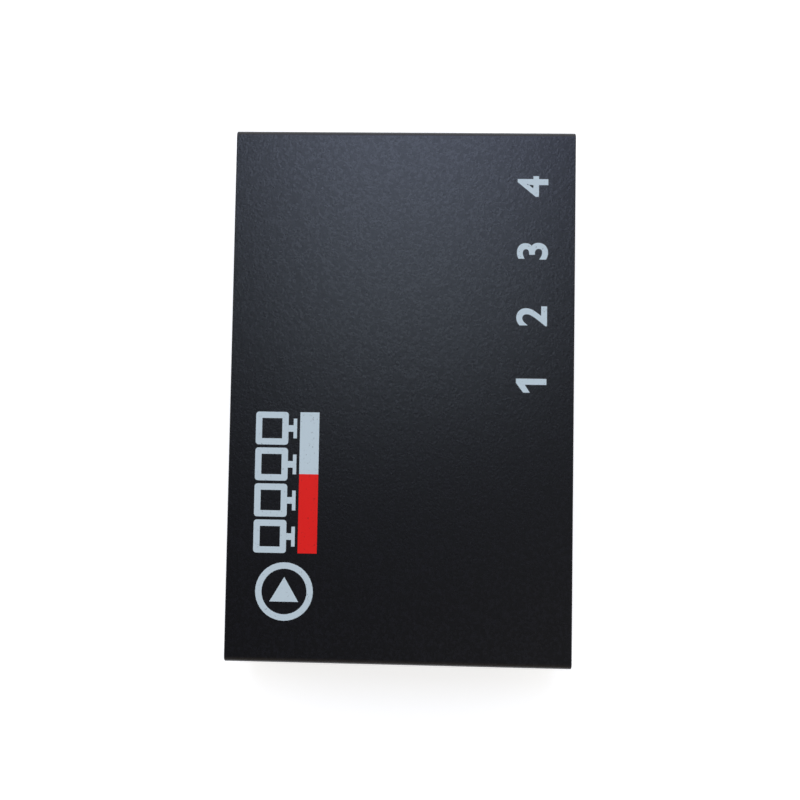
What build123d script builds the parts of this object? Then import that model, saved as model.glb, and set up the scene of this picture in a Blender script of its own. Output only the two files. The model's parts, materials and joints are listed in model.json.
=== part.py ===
"""A powered video splitter, one socket in and four out, in a folded steel case. Millimetres.

The long side of the case lies along X. The input panel faces -Y and the output panel faces +Y.
The origin is on the surface that the rubber feet stand on, under the middle of the case.
"""

import os

from build123d import *

# Case, two folded sheets
case_length = 106.0
case_depth = 68.0
case_height = 20.0
sheet = 1.0
bend_radius = 0.2
cover_corner_radius = 1.8
panel_corner_radius = 0.8
raw_edge_radius = 0.2
seam_gap = 0.15
cover_lift = 0.3

# Rubber feet
foot_diameter = 9.0
foot_height = 1.6
foot_edge_radius = 0.4
foot_from_end = 9.0
foot_from_panel = 8.0

# Screws that hold the cover, and the tray's ears that they go into
cover_screw_thread = 2.5
cover_screw_head = 4.7
cover_screw_length = 4.0
cover_screw_sunk = 0.05
cover_screw_from_panel = 14.0
cover_screw_height = 10.0
screw_play = 0.1
ear_width = 10.0
ear_height = 14.0
ear_relief = 0.8
ear_collar = 4.2
ear_collar_depth = 0.8
ear_corner_radius = 1.6
screw_tip = 0.5

# Circuit board on four standoffs
board_thickness = 1.6
board_end_gap = 3.5
board_panel_gap = 1.5
board_corner_radius = 1.0
standoff_height = 4.0
standoff_diameter = 5.0
standoff_spigot = 3.5
standoff_from_end = 7.5
standoff_from_panel = 21.0
board_screw_thread = 2.5
board_screw_head = 4.5
board_screw_head_height = 1.5
board_screw_length = 5.0
board_screw_play = 0.15
slot_play = 0.4
slot_width = 0.9
fit_gap = 0.05

# Cross recess of every screw
recess_span = 2.3
recess_width = 0.55
recess_depth = 0.8
recess_taper = 8.0

# Video sockets, nineteen contacts, wide side up
opening_width = 14.0
opening_height = 4.55
opening_bevel_width = 1.7
opening_bevel_height = 1.95
opening_corner = 0.35
shell_sheet = 0.3
shell_length = 12.0
flare_depth = 0.9
flare_reach = 0.45
mouth_proud = 0.4
window_gap = 0.25
tongue_width = 11.3
tongue_thickness = 1.2
tongue_height = 2.0
tongue_recess = 1.4
tongue_chamfer = 0.25
cavity_depth = 9.4
contact_pitch = 1.0
contact_width = 0.36
contact_leg_width = 0.24
contact_thickness = 0.12
contact_proud = 0.04
contact_tip = 2.2
contact_drop = 10.6
contact_foot_end = 12.9
upper_contacts = 10
lower_contacts = 9
tail_window_height = 1.0
tail_window_width = 10.4
shell_leg_width = 1.6
shell_leg_rows = (4.4, 9.8)
leg_below_board = 1.0
finger_width = 1.6
side_finger_width = 1.1
finger_spacing = 7.0
low_finger_spacing = 5.6
finger_length = 5.6
finger_start = 3.2
finger_slot_gap = 0.3
finger_bend = 1.0
finger_reach = 0.4
finger_tip_reach = 0.1
outputs = 4
outer_output_from_end = 17.0
input_from_jack = 31.0

# Power jack, barrel type
jack_from_end = 10.0
jack_width = 9.0
jack_length = 13.6
jack_axis = 6.5
jack_collar = 3.2
jack_step = 0.3
jack_bore = 6.3
jack_bore_depth = 10.8
jack_leg_depth = 7.8
jack_side_leg_depth = 9.8
jack_lead_in = 0.4
jack_setback = 0.1
jack_window = 8.0
jack_pin_diameter = 2.0
jack_pin_recess = 1.2
jack_pin_rounding = 0.65
jack_shank_diameter = 2.4
jack_plate_diameter = 3.6
jack_rivet_height = 0.5
jack_tip_chamfer = 0.65
jack_leg_thickness = 0.5
jack_leg_width = 2.6
jack_spring_width = 2.2
jack_spring_sheet = 0.35
jack_spring_bump = 0.55
jack_spring_start = 0.7
jack_spring_crest = 2.75
jack_spring_flat = 1.1

# Slide switch
switch_from_jack = 12.0
switch_length = 8.6
switch_height = 3.7
switch_depth = 3.8
switch_sheet = 0.3
switch_setback = 0.4
switch_travel = 2.0
switch_leg_width = 1.2
switch_leg_depth = 2.8
switch_crimp_width = 1.4
switch_crimp_height = 0.9
switch_base_depth = 1.9
terminal_pitch = 2.5
terminal_sheet = 0.3
terminal_width = 0.8
terminal_pad = 1.4
terminal_pad_depth = 0.15
terminal_behind = 0.6
knob_width = 3.0
knob_height = 1.5
knob_proud = 1.4
knob_grooves = 3
knob_groove = 0.25
knob_chamfer = 0.12
knob_play = 0.25
slider_foot_width = 5.2
slider_foot_depth = 1.0
wiper_sheet = 0.2
wiper_bend = 0.4

# Indicator lamps
lamp_diameter = 3.0
lamp_flange = 3.8
lamp_flange_height = 1.0
lamp_length = 5.3
lamp_tip_flat = 0.2
lamp_proud = 0.8
lamp_window_gap = 0.15
lamp_lead = 0.4
lamp_lead_spacing = 2.54
lamp_lead_bend = 1.5
anvil_inset = 2.65
anvil_width = 0.9
anvil_thickness = 1.0
power_lamp_from_jack = 20.0
status_lamp_from_input = 15.0
status_lamp_from_end = 11.0

# Chips
chip_size = 14.0
chip_thickness = 1.4
chip_standoff = 0.1
chip_lead_pitch = 0.65
chip_leads_per_side = 20
chip_centre = (0.0, 2.0)
chip_chamfer = 0.15
mark_radius = 0.35
mark_inset = 0.9
mark_depth = 0.12
lead_thickness = 0.12
lead_reach = 1.0
lead_shoulder = 0.3
lead_knee = 0.5
chip_lead_width = 0.3
pad_thickness = 0.3
pad_size = 13.0
sink_base = 1.5
sink_height = 6.0
sink_fins = 7
sink_fin = 0.8
buffer_length = 5.2
buffer_width = 4.4
buffer_thickness = 1.0
buffer_lead_pitch = 0.65
buffer_leads_per_side = 8
buffer_lead_width = 0.3
buffer_gap = 0.9
memory_length = 4.9
memory_width = 3.9
memory_thickness = 1.45
memory_lead_pitch = 1.27
memory_leads_per_side = 4
memory_lead_width = 0.42
memory_from_input = -5.0
memory_y = -11.0

# Power parts and passives on the board. A left-hand place counts its x from the power jack,
# a right-hand one from the +X end of the case, and both count their y from the case's middle
regulator_length = 6.5
regulator_width = 3.5
regulator_thickness = 1.6
regulator_lead_pitch = 2.3
regulator_leads_per_side = 3
regulator_lead_width = 0.7
regulator_tab = 3.0
left_regulator = (5.0, 6.0)
right_regulator = (-26.0, -2.0)
inductor_size = 7.0
inductor_height = 3.2
inductor_corner = 0.9
inductor_edge = 0.4
inductor_place = (15.0, 3.0)
capacitor_can = 6.3
capacitor_height = 5.4
capacitor_base = 6.6
capacitor_base_height = 0.8
capacitor_base_corner = 1.1
capacitor_crimp = 0.25
capacitor_crimp_height = 0.9
left_capacitors = ((12.0, -17.0), (6.0, -6.0))
right_capacitor = (-16.0, -2.0)
crystal_length = 11.0
crystal_width = 4.5
crystal_height = 3.2
crystal_base_height = 0.6
crystal_flange = 0.35
crystal_side_gap = 0.35
crystal_from_chip = (19.0, 3.0)
diode_length = 4.4
diode_width = 3.6
diode_height = 2.2
diode_chamfer = 0.35
diode_from_lamp = -0.5
diode_gap = 3.2
small_length = 1.6
small_width = 0.8
resistor_height = 0.45
ceramic_height = 0.8
resistors_per_socket = 8
resistor_pitch = 1.5
resistor_gap = 0.8
lamp_resistor_gap = 3.2
ceramics_per_row = 7
ceramic_pitch = 1.9
ceramic_gap = 1.6

# Heights and half sizes that follow from these
base_z = foot_height
floor_z = base_z + sheet
case_top_z = base_z + case_height
cover_under_z = case_top_z - sheet
half_length = case_length / 2
half_depth = case_depth / 2
panel_inner = half_depth - sheet
tray_end = half_length - sheet - seam_gap
board_z = floor_z + standoff_height
board_top = board_z + board_thickness
board_length = case_length - 2 * board_end_gap
board_depth = 2 * (panel_inner - board_panel_gap)
socket_axis = shell_sheet + opening_height / 2
cover_screw_y = half_depth - cover_screw_from_panel
cover_screw_z = base_z + cover_screw_height
lamp_radius = lamp_diameter / 2
lead_below = board_thickness + leg_below_board
standoff_x = half_length - standoff_from_end
standoff_y = half_depth - standoff_from_panel

# How far the panel parts' fronts stand from the middle of the case
mouth_reach = half_depth + mouth_proud
jack_reach = panel_inner - jack_setback
switch_reach = panel_inner - switch_setback
lamp_reach = half_depth + lamp_proud

# Places along the panels
jack_x = jack_from_end - half_length
switch_x = jack_x + switch_from_jack
power_lamp_x = jack_x + power_lamp_from_jack
input_x = jack_x + input_from_jack
output_pitch = (case_length - 2 * outer_output_from_end) / (outputs - 1)
output_xs = tuple(output_pitch * ((outputs - 1) / 2 - index) for index in range(outputs))
status_lamp_first_x = input_x + status_lamp_from_input
status_lamp_last_x = half_length - status_lamp_from_end
status_lamp_pitch = (status_lamp_last_x - status_lamp_first_x) / (outputs - 1)
status_lamp_xs = tuple(status_lamp_first_x + status_lamp_pitch * index for index in range(outputs))

# Places on the board
resistor_row_y = mouth_reach - contact_foot_end - resistor_gap - small_length / 2
lamp_resistor_y = lamp_reach - lamp_length - lamp_lead_bend - lamp_resistor_gap - small_width / 2
buffer_y = resistor_row_y - small_length / 2 - buffer_gap - lead_reach - buffer_width / 2
diode_y = -(lamp_resistor_y - small_width / 2 - diode_gap - diode_width / 2)
diode_centre = (power_lamp_x + diode_from_lamp, diode_y)
memory_centre = (input_x + memory_from_input, memory_y)
inductor_centre = (jack_x + inductor_place[0], inductor_place[1])
crystal_centre = (chip_centre[0] + crystal_from_chip[0], chip_centre[1] + crystal_from_chip[1])
regulator_centres = (
    (jack_x + left_regulator[0], left_regulator[1]),
    (half_length + right_regulator[0], right_regulator[1]),
)
capacitor_centres = (
    *[(jack_x + x, y) for x, y in left_capacitors],
    (half_length + right_capacitor[0], right_capacitor[1]),
)
ceramic_ring = chip_size / 2 + lead_reach + ceramic_gap + small_length / 2


def at_panel(x, side, reach):
    """A place behind a panel: y = 0 stands reach from the middle of the case, and +y points inwards."""
    return Location((x, side * reach, 0), (0, 0, 0 if side < 0 else 180))


def facing(depth, height=0.0):
    """A drawing plane that faces out of a panel, depth behind the front of a panel part."""
    return Plane(origin=(0, depth, height), x_dir=(1, 0, 0), z_dir=(0, -1, 0))


on_board = Location((0, 0, board_top))
sockets = {"input_socket": at_panel(input_x, -1, mouth_reach)}
for number, x in enumerate(output_xs, start=1):
    sockets[f"output_socket_{number}"] = at_panel(x, 1, mouth_reach)
jack_place = at_panel(jack_x, -1, jack_reach)
switch_place = at_panel(switch_x, -1, switch_reach)
lamps = {"power_lamp": at_panel(power_lamp_x, -1, lamp_reach)}
for number, x in enumerate(status_lamp_xs, start=1):
    lamps[f"status_lamp_{number}"] = at_panel(x, -1, lamp_reach)
standoff_points = [(x, y) for x in (-standoff_x, standoff_x) for y in (-standoff_y, standoff_y)]
cover_screw_planes = [
    Plane(origin=(side * half_length, y, cover_screw_z), z_dir=(side, 0, 0))
    for side in (-1, 1)
    for y in (-cover_screw_y, cover_screw_y)
]

os.makedirs("parts", exist_ok=True)


def save(piece, name, place=None):
    """Labels a finished piece, puts it where it belongs in the splitter and writes it."""
    placed = piece if place is None else piece.moved(place)
    placed.label = name
    export_step(placed, f"parts/{name}.step")


# The folded case
def draw_channel(half_width, open_end, closed_end):
    """Section of a sheet folded into a U, open towards open_end."""
    inward = sheet if closed_end < open_end else -sheet
    inner_half = half_width - sheet
    outer_points = [
        (-half_width, open_end),
        (-half_width, closed_end),
        (half_width, closed_end),
        (half_width, open_end),
    ]
    inner_points = [
        (-inner_half, open_end),
        (-inner_half, closed_end + inward),
        (inner_half, closed_end + inward),
        (inner_half, open_end),
    ]
    with BuildLine() as outline:
        outer = FilletPolyline(*outer_points, radius=bend_radius + sheet)
        inner = FilletPolyline(*inner_points, radius=bend_radius)
        Line(outer @ 0, inner @ 0)
        Line(outer @ 1, inner @ 1)
    make_face(outline.line)


with BuildPart() as top_cover:
    with BuildSketch(Plane.XZ):
        draw_channel(half_length, base_z + cover_lift, case_top_z)
    extrude(amount=half_depth, both=True)
    lower_corners = [edge for edge in top_cover.edges().filter_by(Axis.X) if edge.length < 2 * sheet]
    fillet(lower_corners, radius=cover_corner_radius)
    raw_ends = top_cover.faces().filter_by(Axis.Y)
    fillet([edge for face in raw_ends for edge in face.edges()], radius=raw_edge_radius)
    with Locations(*cover_screw_planes):
        CounterSinkHole(
            radius=cover_screw_thread / 2 + screw_play,
            counter_sink_radius=cover_screw_head / 2 + screw_play,
            depth=2 * sheet,
            counter_sink_angle=90,
        )
save(top_cover.part, "top_cover")

ear_top_z = base_z + ear_height
ear_root = tray_end - sheet - bend_radius
with BuildPart() as screw_ear:
    with BuildSketch(Plane.XZ.offset(-cover_screw_y)):
        with BuildLine():
            outer = FilletPolyline(
                (ear_root - sheet, base_z),
                (tray_end, base_z),
                (tray_end, ear_top_z),
                radius=bend_radius + sheet,
            )
            inner = FilletPolyline(
                (ear_root - sheet, floor_z),
                (tray_end - sheet, floor_z),
                (tray_end - sheet, ear_top_z),
                radius=bend_radius,
            )
            Line(outer @ 0, inner @ 0)
            Line(outer @ 1, inner @ 1)
        make_face()
    extrude(amount=ear_width / 2, both=True)
    top_corners = screw_ear.edges().filter_by(Axis.X).group_by(Axis.Z)[-1]
    fillet(top_corners, radius=ear_corner_radius)
    with BuildSketch(Plane.YZ.offset(tray_end - sheet)):
        with Locations((cover_screw_y, cover_screw_z)):
            Circle(ear_collar / 2)
    extrude(amount=-ear_collar_depth)
    with Locations(Plane(origin=(tray_end, cover_screw_y, cover_screw_z), z_dir=(1, 0, 0))):
        Hole(radius=cover_screw_thread / 2 + fit_gap, depth=2 * (sheet + ear_collar_depth))

front_plane = Plane.XZ.offset(half_depth - sheet / 2)
rear_plane = Plane.XZ.offset(-(half_depth - sheet / 2))
switch_axis = switch_height / 2


def draw_opening(grow=0.0):
    """Outline of a socket's opening, grown outwards all round, from its lower edge at the sketch's origin."""
    half = opening_width / 2
    foot = half - opening_bevel_width
    with BuildLine() as outline:
        Polyline(
            (-foot, 0), (foot, 0), (half, opening_bevel_height), (half, opening_height),
            (-half, opening_height), (-half, opening_bevel_height),
            close=True,
        )
    face = make_face(outline.line, mode=Mode.PRIVATE).face()
    if grow:
        face = offset(face, amount=grow, kind=Kind.INTERSECTION, mode=Mode.PRIVATE).face()
    add(face.fillet_2d(opening_corner + max(grow, 0), face.vertices()))


with BuildSketch(mode=Mode.PRIVATE) as socket_window:
    draw_opening(shell_sheet + flare_reach + window_gap)

with BuildPart() as base_tray:
    with BuildSketch(Plane.YZ):
        draw_channel(half_depth, cover_under_z - seam_gap, base_z)
    extrude(amount=tray_end, both=True)
    panel_corners = base_tray.edges().filter_by(Axis.Y).group_by(Axis.Z)[-1]
    fillet(panel_corners, radius=panel_corner_radius)
    with BuildSketch(Plane.XY.offset(base_z)):
        with GridLocations(ear_root + tray_end, 2 * cover_screw_y, 2, 2):
            Rectangle(tray_end - ear_root, ear_width + 2 * ear_relief)
    extrude(amount=sheet, mode=Mode.SUBTRACT)
    for turn in ((), (Plane.YZ,), (Plane.XZ,), (Plane.YZ, Plane.XZ)):
        ear = screw_ear.part
        for plane in turn:
            ear = mirror(ear, about=plane, mode=Mode.PRIVATE)
        add(ear)
    with BuildSketch(Plane.XY.offset(base_z)):
        with Locations(*standoff_points):
            Circle(standoff_spigot / 2 + fit_gap)
    extrude(amount=sheet, mode=Mode.SUBTRACT)
    with BuildSketch(rear_plane):
        with Locations(*[(x, board_top + shell_sheet) for x in output_xs]):
            add(socket_window.sketch)
    extrude(amount=sheet, both=True, mode=Mode.SUBTRACT)
    with BuildSketch(front_plane):
        with Locations((input_x, board_top + shell_sheet)):
            add(socket_window.sketch)
        with Locations((jack_x, board_top + jack_axis)):
            Circle(jack_window / 2)
        with Locations((switch_x, board_top + switch_axis)):
            Rectangle(knob_width + switch_travel + 2 * knob_play, knob_height + 2 * knob_play)
        with Locations(*[(x, board_top + socket_axis) for x in (power_lamp_x, *status_lamp_xs)]):
            Circle(lamp_radius + lamp_window_gap)
    extrude(amount=sheet, both=True, mode=Mode.SUBTRACT)
save(base_tray.part, "base_tray")

# Rubber feet
with BuildPart() as foot:
    with BuildSketch():
        Circle(foot_diameter / 2)
    extrude(amount=foot_height)
    fillet(foot.faces().sort_by(Axis.Z)[0].edges(), radius=foot_edge_radius)
foot_x = half_length - foot_from_end
foot_y = half_depth - foot_from_panel
for end, x in (("left", -foot_x), ("right", foot_x)):
    for panel, y in (("front", -foot_y), ("rear", foot_y)):
        save(foot.part, f"foot_{panel}_{end}", Location((x, y, 0)))


# Screws
def cut_cross_recess():
    """A cross for the driver, narrowing downwards from the top of a head at z = 0."""
    with BuildSketch() as cross:
        Rectangle(recess_span, recess_width)
        Rectangle(recess_width, recess_span)
    extrude(cross.sketch, amount=-recess_depth, taper=recess_taper, mode=Mode.SUBTRACT)


sunk_head_height = (cover_screw_head - cover_screw_thread) / 2
with BuildPart() as cover_screw:
    with BuildSketch(Plane.XZ):
        with BuildLine():
            Polyline(
                (0, 0),
                (cover_screw_head / 2, 0),
                (cover_screw_thread / 2, -sunk_head_height),
                (cover_screw_thread / 2, screw_tip - cover_screw_length),
                (cover_screw_thread / 2 - screw_tip, -cover_screw_length),
                (0, -cover_screw_length),
                close=True,
            )
        make_face()
    revolve(axis=Axis.Z)
    cut_cross_recess()
with BuildPart() as cover_screws:
    with Locations(*[plane.offset(-cover_screw_sunk) for plane in cover_screw_planes]):
        add(cover_screw.part)
save(cover_screws.part, "cover_screws")

with BuildPart() as board_screw:
    with BuildSketch():
        Circle(board_screw_head / 2)
    extrude(amount=-board_screw_head_height)
    fillet(board_screw.faces().sort_by(Axis.Z)[-1].edges(), radius=board_screw_head_height / 2)
    with BuildSketch(Plane.XY.offset(-board_screw_head_height)):
        Circle(board_screw_thread / 2)
    extrude(amount=-board_screw_length)
    chamfer(board_screw.faces().sort_by(Axis.Z)[0].edges(), length=screw_tip)
    cut_cross_recess()
with BuildPart() as board_screws:
    with Locations(*[(x, y, board_top + board_screw_head_height) for x, y in standoff_points]):
        add(board_screw.part)
save(board_screws.part, "board_screws")

# Standoffs pressed into the tray's floor
with BuildPart() as board_standoffs:
    with Locations(*[(x, y, floor_z) for x, y in standoff_points]):
        Cylinder(standoff_diameter / 2, standoff_height, align=(Align.CENTER, Align.CENTER, Align.MIN))
        Cylinder(standoff_spigot / 2, sheet, align=(Align.CENTER, Align.CENTER, Align.MAX))
    with Locations(*[(x, y, board_z) for x, y in standoff_points]):
        Hole(radius=board_screw_thread / 2 + fit_gap, depth=standoff_height + 2 * sheet)
save(board_standoffs.part, "board_standoffs")

# Video socket, drawn with its mouth at y = 0 and the board's top at z = 0
shell_half = opening_width / 2 + shell_sheet / 2
with BuildPart() as socket_shell:
    with BuildSketch(facing(flare_depth, shell_sheet)):
        draw_opening(shell_sheet)
    extrude(amount=flare_depth - shell_length)
    with BuildSketch(facing(0, shell_sheet)):
        draw_opening(shell_sheet + flare_reach)
    with BuildSketch(facing(flare_depth, shell_sheet)):
        draw_opening(shell_sheet)
    loft(ruled=True)
    with BuildSketch(facing(flare_depth, shell_sheet)):
        draw_opening()
    extrude(amount=flare_depth + shell_sheet - shell_length, mode=Mode.SUBTRACT)
    with BuildSketch(facing(0, shell_sheet)):
        draw_opening(flare_reach)
    with BuildSketch(facing(flare_depth, shell_sheet)):
        draw_opening()
    loft(ruled=True, mode=Mode.SUBTRACT)
    leg_top = shell_sheet + opening_bevel_height + shell_leg_width / 2
    with Locations(*[(side * shell_half, y, leg_top) for side in (-1, 1) for y in shell_leg_rows]):
        Box(shell_sheet, shell_leg_width, leg_top + lead_below, align=(Align.CENTER, Align.CENTER, Align.MAX))
    with Locations((0, (cavity_depth + shell_length) / 2 + shell_sheet, 0)):
        Box(
            tail_window_width,
            shell_length - cavity_depth,
            tail_window_height,
            align=(Align.CENTER, Align.CENTER, Align.MIN),
            mode=Mode.SUBTRACT,
        )
    # Spring fingers that press on the plug: two above, two below and one each side
    upper_z = shell_sheet + opening_height + shell_sheet / 2
    side_z = shell_sheet + (opening_bevel_height + opening_height) / 2
    finger_x = finger_spacing / 2
    low_finger_x = low_finger_spacing / 2
    fingers = (
        ((-finger_x, finger_start, upper_z), (0, 0, 1)),
        ((finger_x, finger_start, upper_z), (0, 0, 1)),
        ((-low_finger_x, finger_start, shell_sheet / 2), (0, 0, -1)),
        ((low_finger_x, finger_start, shell_sheet / 2), (0, 0, -1)),
        ((-shell_half, finger_start, side_z), (-1, 0, 0)),
        ((shell_half, finger_start, side_z), (1, 0, 0)),
    )
    for origin, outward in fingers:
        half_width = (finger_width if outward[2] else side_finger_width) / 2
        side_plane = Plane(origin=origin, x_dir=(0, 1, 0), z_dir=Vector(0, 1, 0).cross(Vector(*outward)))
        with BuildSketch(side_plane):
            with Locations((finger_length / 2, 0)):
                Rectangle(finger_length, 3 * shell_sheet)
        extrude(amount=half_width + finger_slot_gap, both=True, mode=Mode.SUBTRACT)
        with BuildSketch(side_plane):
            with BuildLine():
                Polyline(
                    (finger_length + shell_sheet, 0),
                    (finger_length - shell_sheet, 0),
                    (finger_bend + finger_slot_gap, -finger_reach),
                    (finger_slot_gap, -finger_tip_reach),
                )
            trace(line_width=shell_sheet)
        extrude(amount=half_width, both=True)

upper_contact_z = shell_sheet + tongue_height + tongue_thickness / 2 + contact_proud - contact_thickness / 2
lower_contact_z = shell_sheet + tongue_height - tongue_thickness / 2 - contact_proud + contact_thickness / 2


def contact_strips(mode=Mode.ADD):
    """Strips along both faces of the tongue, each bent down behind it and out onto the board."""
    for count, height in ((upper_contacts, upper_contact_z), (lower_contacts, lower_contact_z)):
        with Locations((0, contact_tip, height)):
            with GridLocations(contact_pitch, contact_pitch, count, 1):
                Box(
                    contact_width,
                    contact_drop - contact_tip,
                    contact_thickness,
                    align=(Align.CENTER, Align.MIN, Align.CENTER),
                    mode=mode,
                )
        with Locations((0, contact_drop - contact_thickness, 0)):
            with GridLocations(contact_pitch, contact_pitch, count, 1):
                Box(
                    contact_leg_width,
                    contact_thickness,
                    height,
                    align=(Align.CENTER, Align.MIN, Align.MIN),
                    mode=mode,
                )
                Box(
                    contact_leg_width,
                    contact_foot_end - contact_drop,
                    contact_thickness,
                    align=(Align.CENTER, Align.MIN, Align.MIN),
                    mode=mode,
                )


with BuildPart() as socket_insulator:
    with BuildSketch(facing(cavity_depth, shell_sheet)):
        draw_opening(-fit_gap)
    extrude(amount=cavity_depth + shell_sheet + fit_gap - shell_length)
    with Locations((0, tongue_recess, shell_sheet + tongue_height)):
        Box(
            tongue_width,
            cavity_depth - tongue_recess,
            tongue_thickness,
            align=(Align.CENTER, Align.MIN, Align.CENTER),
        )
    tongue_front = socket_insulator.faces().filter_by(Axis.Y).sort_by(Axis.Y)[0]
    chamfer(tongue_front.edges(), length=tongue_chamfer)
    contact_strips(Mode.SUBTRACT)

with BuildPart() as socket_contacts:
    contact_strips()

for name, place in sockets.items():
    save(socket_shell.part, f"{name}_shell", on_board * place)
    save(socket_insulator.part, f"{name}_insulator", on_board * place)
    save(socket_contacts.part, f"{name}_contacts", on_board * place)

# Power jack, drawn with its front at y = 0 and the board's top at z = 0
jack_top_radius = jack_width / 2


def draw_jack_section(inset):
    """The jack's outline from the front: a block with a round top, on the board."""
    with Locations((0, jack_axis)):
        Circle(jack_top_radius - inset)
    with Locations((0, jack_axis / 2)):
        Rectangle(jack_width - 2 * inset, jack_axis)


jack_bore_floor = jack_axis - jack_bore / 2
with BuildPart() as jack_housing:
    with BuildSketch(facing(0)):
        draw_jack_section(0)
    extrude(amount=-jack_collar)
    with BuildSketch(facing(jack_collar)):
        draw_jack_section(jack_step)
    extrude(amount=jack_collar - jack_length)
    with BuildSketch(facing(0, jack_axis)):
        Circle(jack_bore / 2)
    extrude(amount=-jack_bore_depth, mode=Mode.SUBTRACT)
    bore_rim = jack_housing.edges().filter_by(GeomType.CIRCLE).group_by(Axis.Y)[0]
    chamfer(bore_rim.sort_by(SortBy.RADIUS)[0], length=jack_lead_in)
    with BuildSketch(facing(0, jack_axis)):
        Circle(jack_shank_diameter / 2 + fit_gap)
    extrude(amount=-jack_length, mode=Mode.SUBTRACT)
    # Slot under the bore for the sleeve spring, and one beside it for the side contact
    with Locations((0, jack_collar, 0)):
        Box(
            jack_spring_width + 4 * fit_gap,
            jack_leg_depth + jack_leg_thickness + fit_gap - jack_collar,
            jack_axis,
            align=(Align.CENTER, Align.MIN, Align.MIN),
            mode=Mode.SUBTRACT,
        )
    with Locations((jack_width / 2, jack_side_leg_depth, 0)):
        Box(
            2 * (jack_step + jack_leg_thickness + fit_gap),
            jack_leg_width + 2 * fit_gap,
            jack_axis,
            align=(Align.CENTER, Align.CENTER, Align.MIN),
            mode=Mode.SUBTRACT,
        )
save(jack_housing.part, "jack_housing", on_board * jack_place)

with BuildPart() as jack_pin:
    with BuildSketch(facing(jack_pin_recess, jack_axis)):
        Circle(jack_pin_diameter / 2)
    extrude(amount=jack_pin_recess - jack_bore_depth)
    fillet(jack_pin.faces().sort_by(Axis.Y)[0].edges(), radius=jack_pin_rounding)
    with BuildSketch(facing(jack_bore_depth, jack_axis)):
        Circle(jack_shank_diameter / 2)
    extrude(amount=jack_bore_depth - jack_length - jack_leg_thickness - jack_rivet_height)
    with BuildSketch(facing(jack_length)):
        with Locations((0, jack_axis)):
            Circle(jack_plate_diameter / 2)
        with Locations((0, (jack_axis - lead_below) / 2)):
            Rectangle(jack_leg_width, jack_axis + lead_below)
    extrude(amount=-jack_leg_thickness)
save(jack_pin.part, "jack_pin", on_board * jack_place)

spring_z = jack_bore_floor - jack_spring_sheet
with BuildPart() as jack_spring:
    with BuildSketch(Plane.YZ):
        with BuildLine():
            Polyline(
                (jack_collar + jack_spring_start, spring_z),
                (jack_leg_depth - jack_spring_crest, jack_bore_floor + jack_spring_bump),
                (jack_leg_depth - jack_spring_flat, spring_z),
                (jack_leg_depth, spring_z),
                (jack_leg_depth, -lead_below),
            )
        trace(line_width=jack_spring_sheet)
    extrude(amount=jack_spring_width / 2, both=True)
save(jack_spring.part, "jack_spring", on_board * jack_place)

with BuildPart() as jack_side_contact:
    side_face = jack_width / 2 - jack_step
    with Locations((side_face, jack_side_leg_depth, -lead_below)):
        Box(
            jack_leg_thickness,
            jack_leg_width,
            lead_below + jack_axis - fit_gap,
            align=(Align.MAX, Align.CENTER, Align.MIN),
        )
    tips = jack_side_contact.edges().filter_by(Axis.X).group_by(Axis.Z)[0]
    chamfer(tips, length=jack_tip_chamfer)
save(jack_side_contact.part, "jack_side_contact", on_board * jack_place)

# Slide switch, drawn with the front of its metal can at y = 0 and the board's top at z = 0
switch_slot_width = knob_width + switch_travel + knob_play
switch_slot_height = knob_height + knob_play
switch_inner_half = switch_length / 2 - switch_sheet
base_front = switch_depth - switch_base_depth
switch_leg_x = (switch_length - switch_sheet) / 2
with BuildPart() as switch_frame:
    Box(switch_length, switch_depth, switch_height, align=(Align.CENTER, Align.MIN, Align.MIN))
    with Locations((0, switch_sheet, switch_sheet)):
        Box(
            2 * switch_inner_half,
            switch_depth,
            switch_height - 2 * switch_sheet,
            align=(Align.CENTER, Align.MIN, Align.MIN),
            mode=Mode.SUBTRACT,
        )
    with BuildSketch(facing(0, switch_axis)):
        Rectangle(switch_slot_width, switch_slot_height)
    extrude(amount=-switch_sheet, mode=Mode.SUBTRACT)
    with Locations(*[(side * switch_leg_x, switch_leg_depth, 0) for side in (-1, 1)]):
        Box(switch_sheet, switch_leg_width, lead_below, align=(Align.CENTER, Align.CENTER, Align.MAX))
    with Locations(*[(side * terminal_pitch, switch_depth, switch_height) for side in (-1, 1)]):
        Box(
            switch_crimp_width,
            switch_sheet,
            switch_crimp_height,
            align=(Align.CENTER, Align.MIN, Align.MAX),
        )
save(switch_frame.part, "switch_frame", on_board * switch_place)


def switch_stems(mode=Mode.ADD):
    """Three terminals, each a pad in front of the base, a strip through it and a leg behind it."""
    with Locations((0, base_front - terminal_pad_depth, switch_axis)):
        with GridLocations(terminal_pitch, terminal_pitch, 3, 1):
            Box(
                terminal_width,
                terminal_pad_depth,
                terminal_pad,
                align=(Align.CENTER, Align.MIN, Align.CENTER),
                mode=mode,
            )
            Box(
                terminal_width,
                switch_base_depth + terminal_pad_depth + terminal_behind,
                terminal_sheet,
                align=(Align.CENTER, Align.MIN, Align.CENTER),
                mode=mode,
            )
    with Locations((0, switch_depth + terminal_behind, switch_axis + terminal_sheet / 2)):
        with GridLocations(terminal_pitch, terminal_pitch, 3, 1):
            Box(
                terminal_width,
                terminal_sheet,
                lead_below + switch_axis + terminal_sheet / 2,
                align=(Align.CENTER, Align.MAX, Align.MAX),
                mode=mode,
            )


with BuildPart() as switch_base:
    with Locations((0, base_front, switch_sheet + fit_gap)):
        Box(
            2 * (switch_inner_half - fit_gap),
            switch_base_depth,
            switch_height - 2 * (switch_sheet + fit_gap),
            align=(Align.CENTER, Align.MIN, Align.MIN),
        )
    switch_stems(Mode.SUBTRACT)
save(switch_base.part, "switch_base", on_board * switch_place)

with BuildPart() as switch_terminals:
    switch_stems()
save(switch_terminals.part, "switch_terminals", on_board * switch_place)

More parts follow.
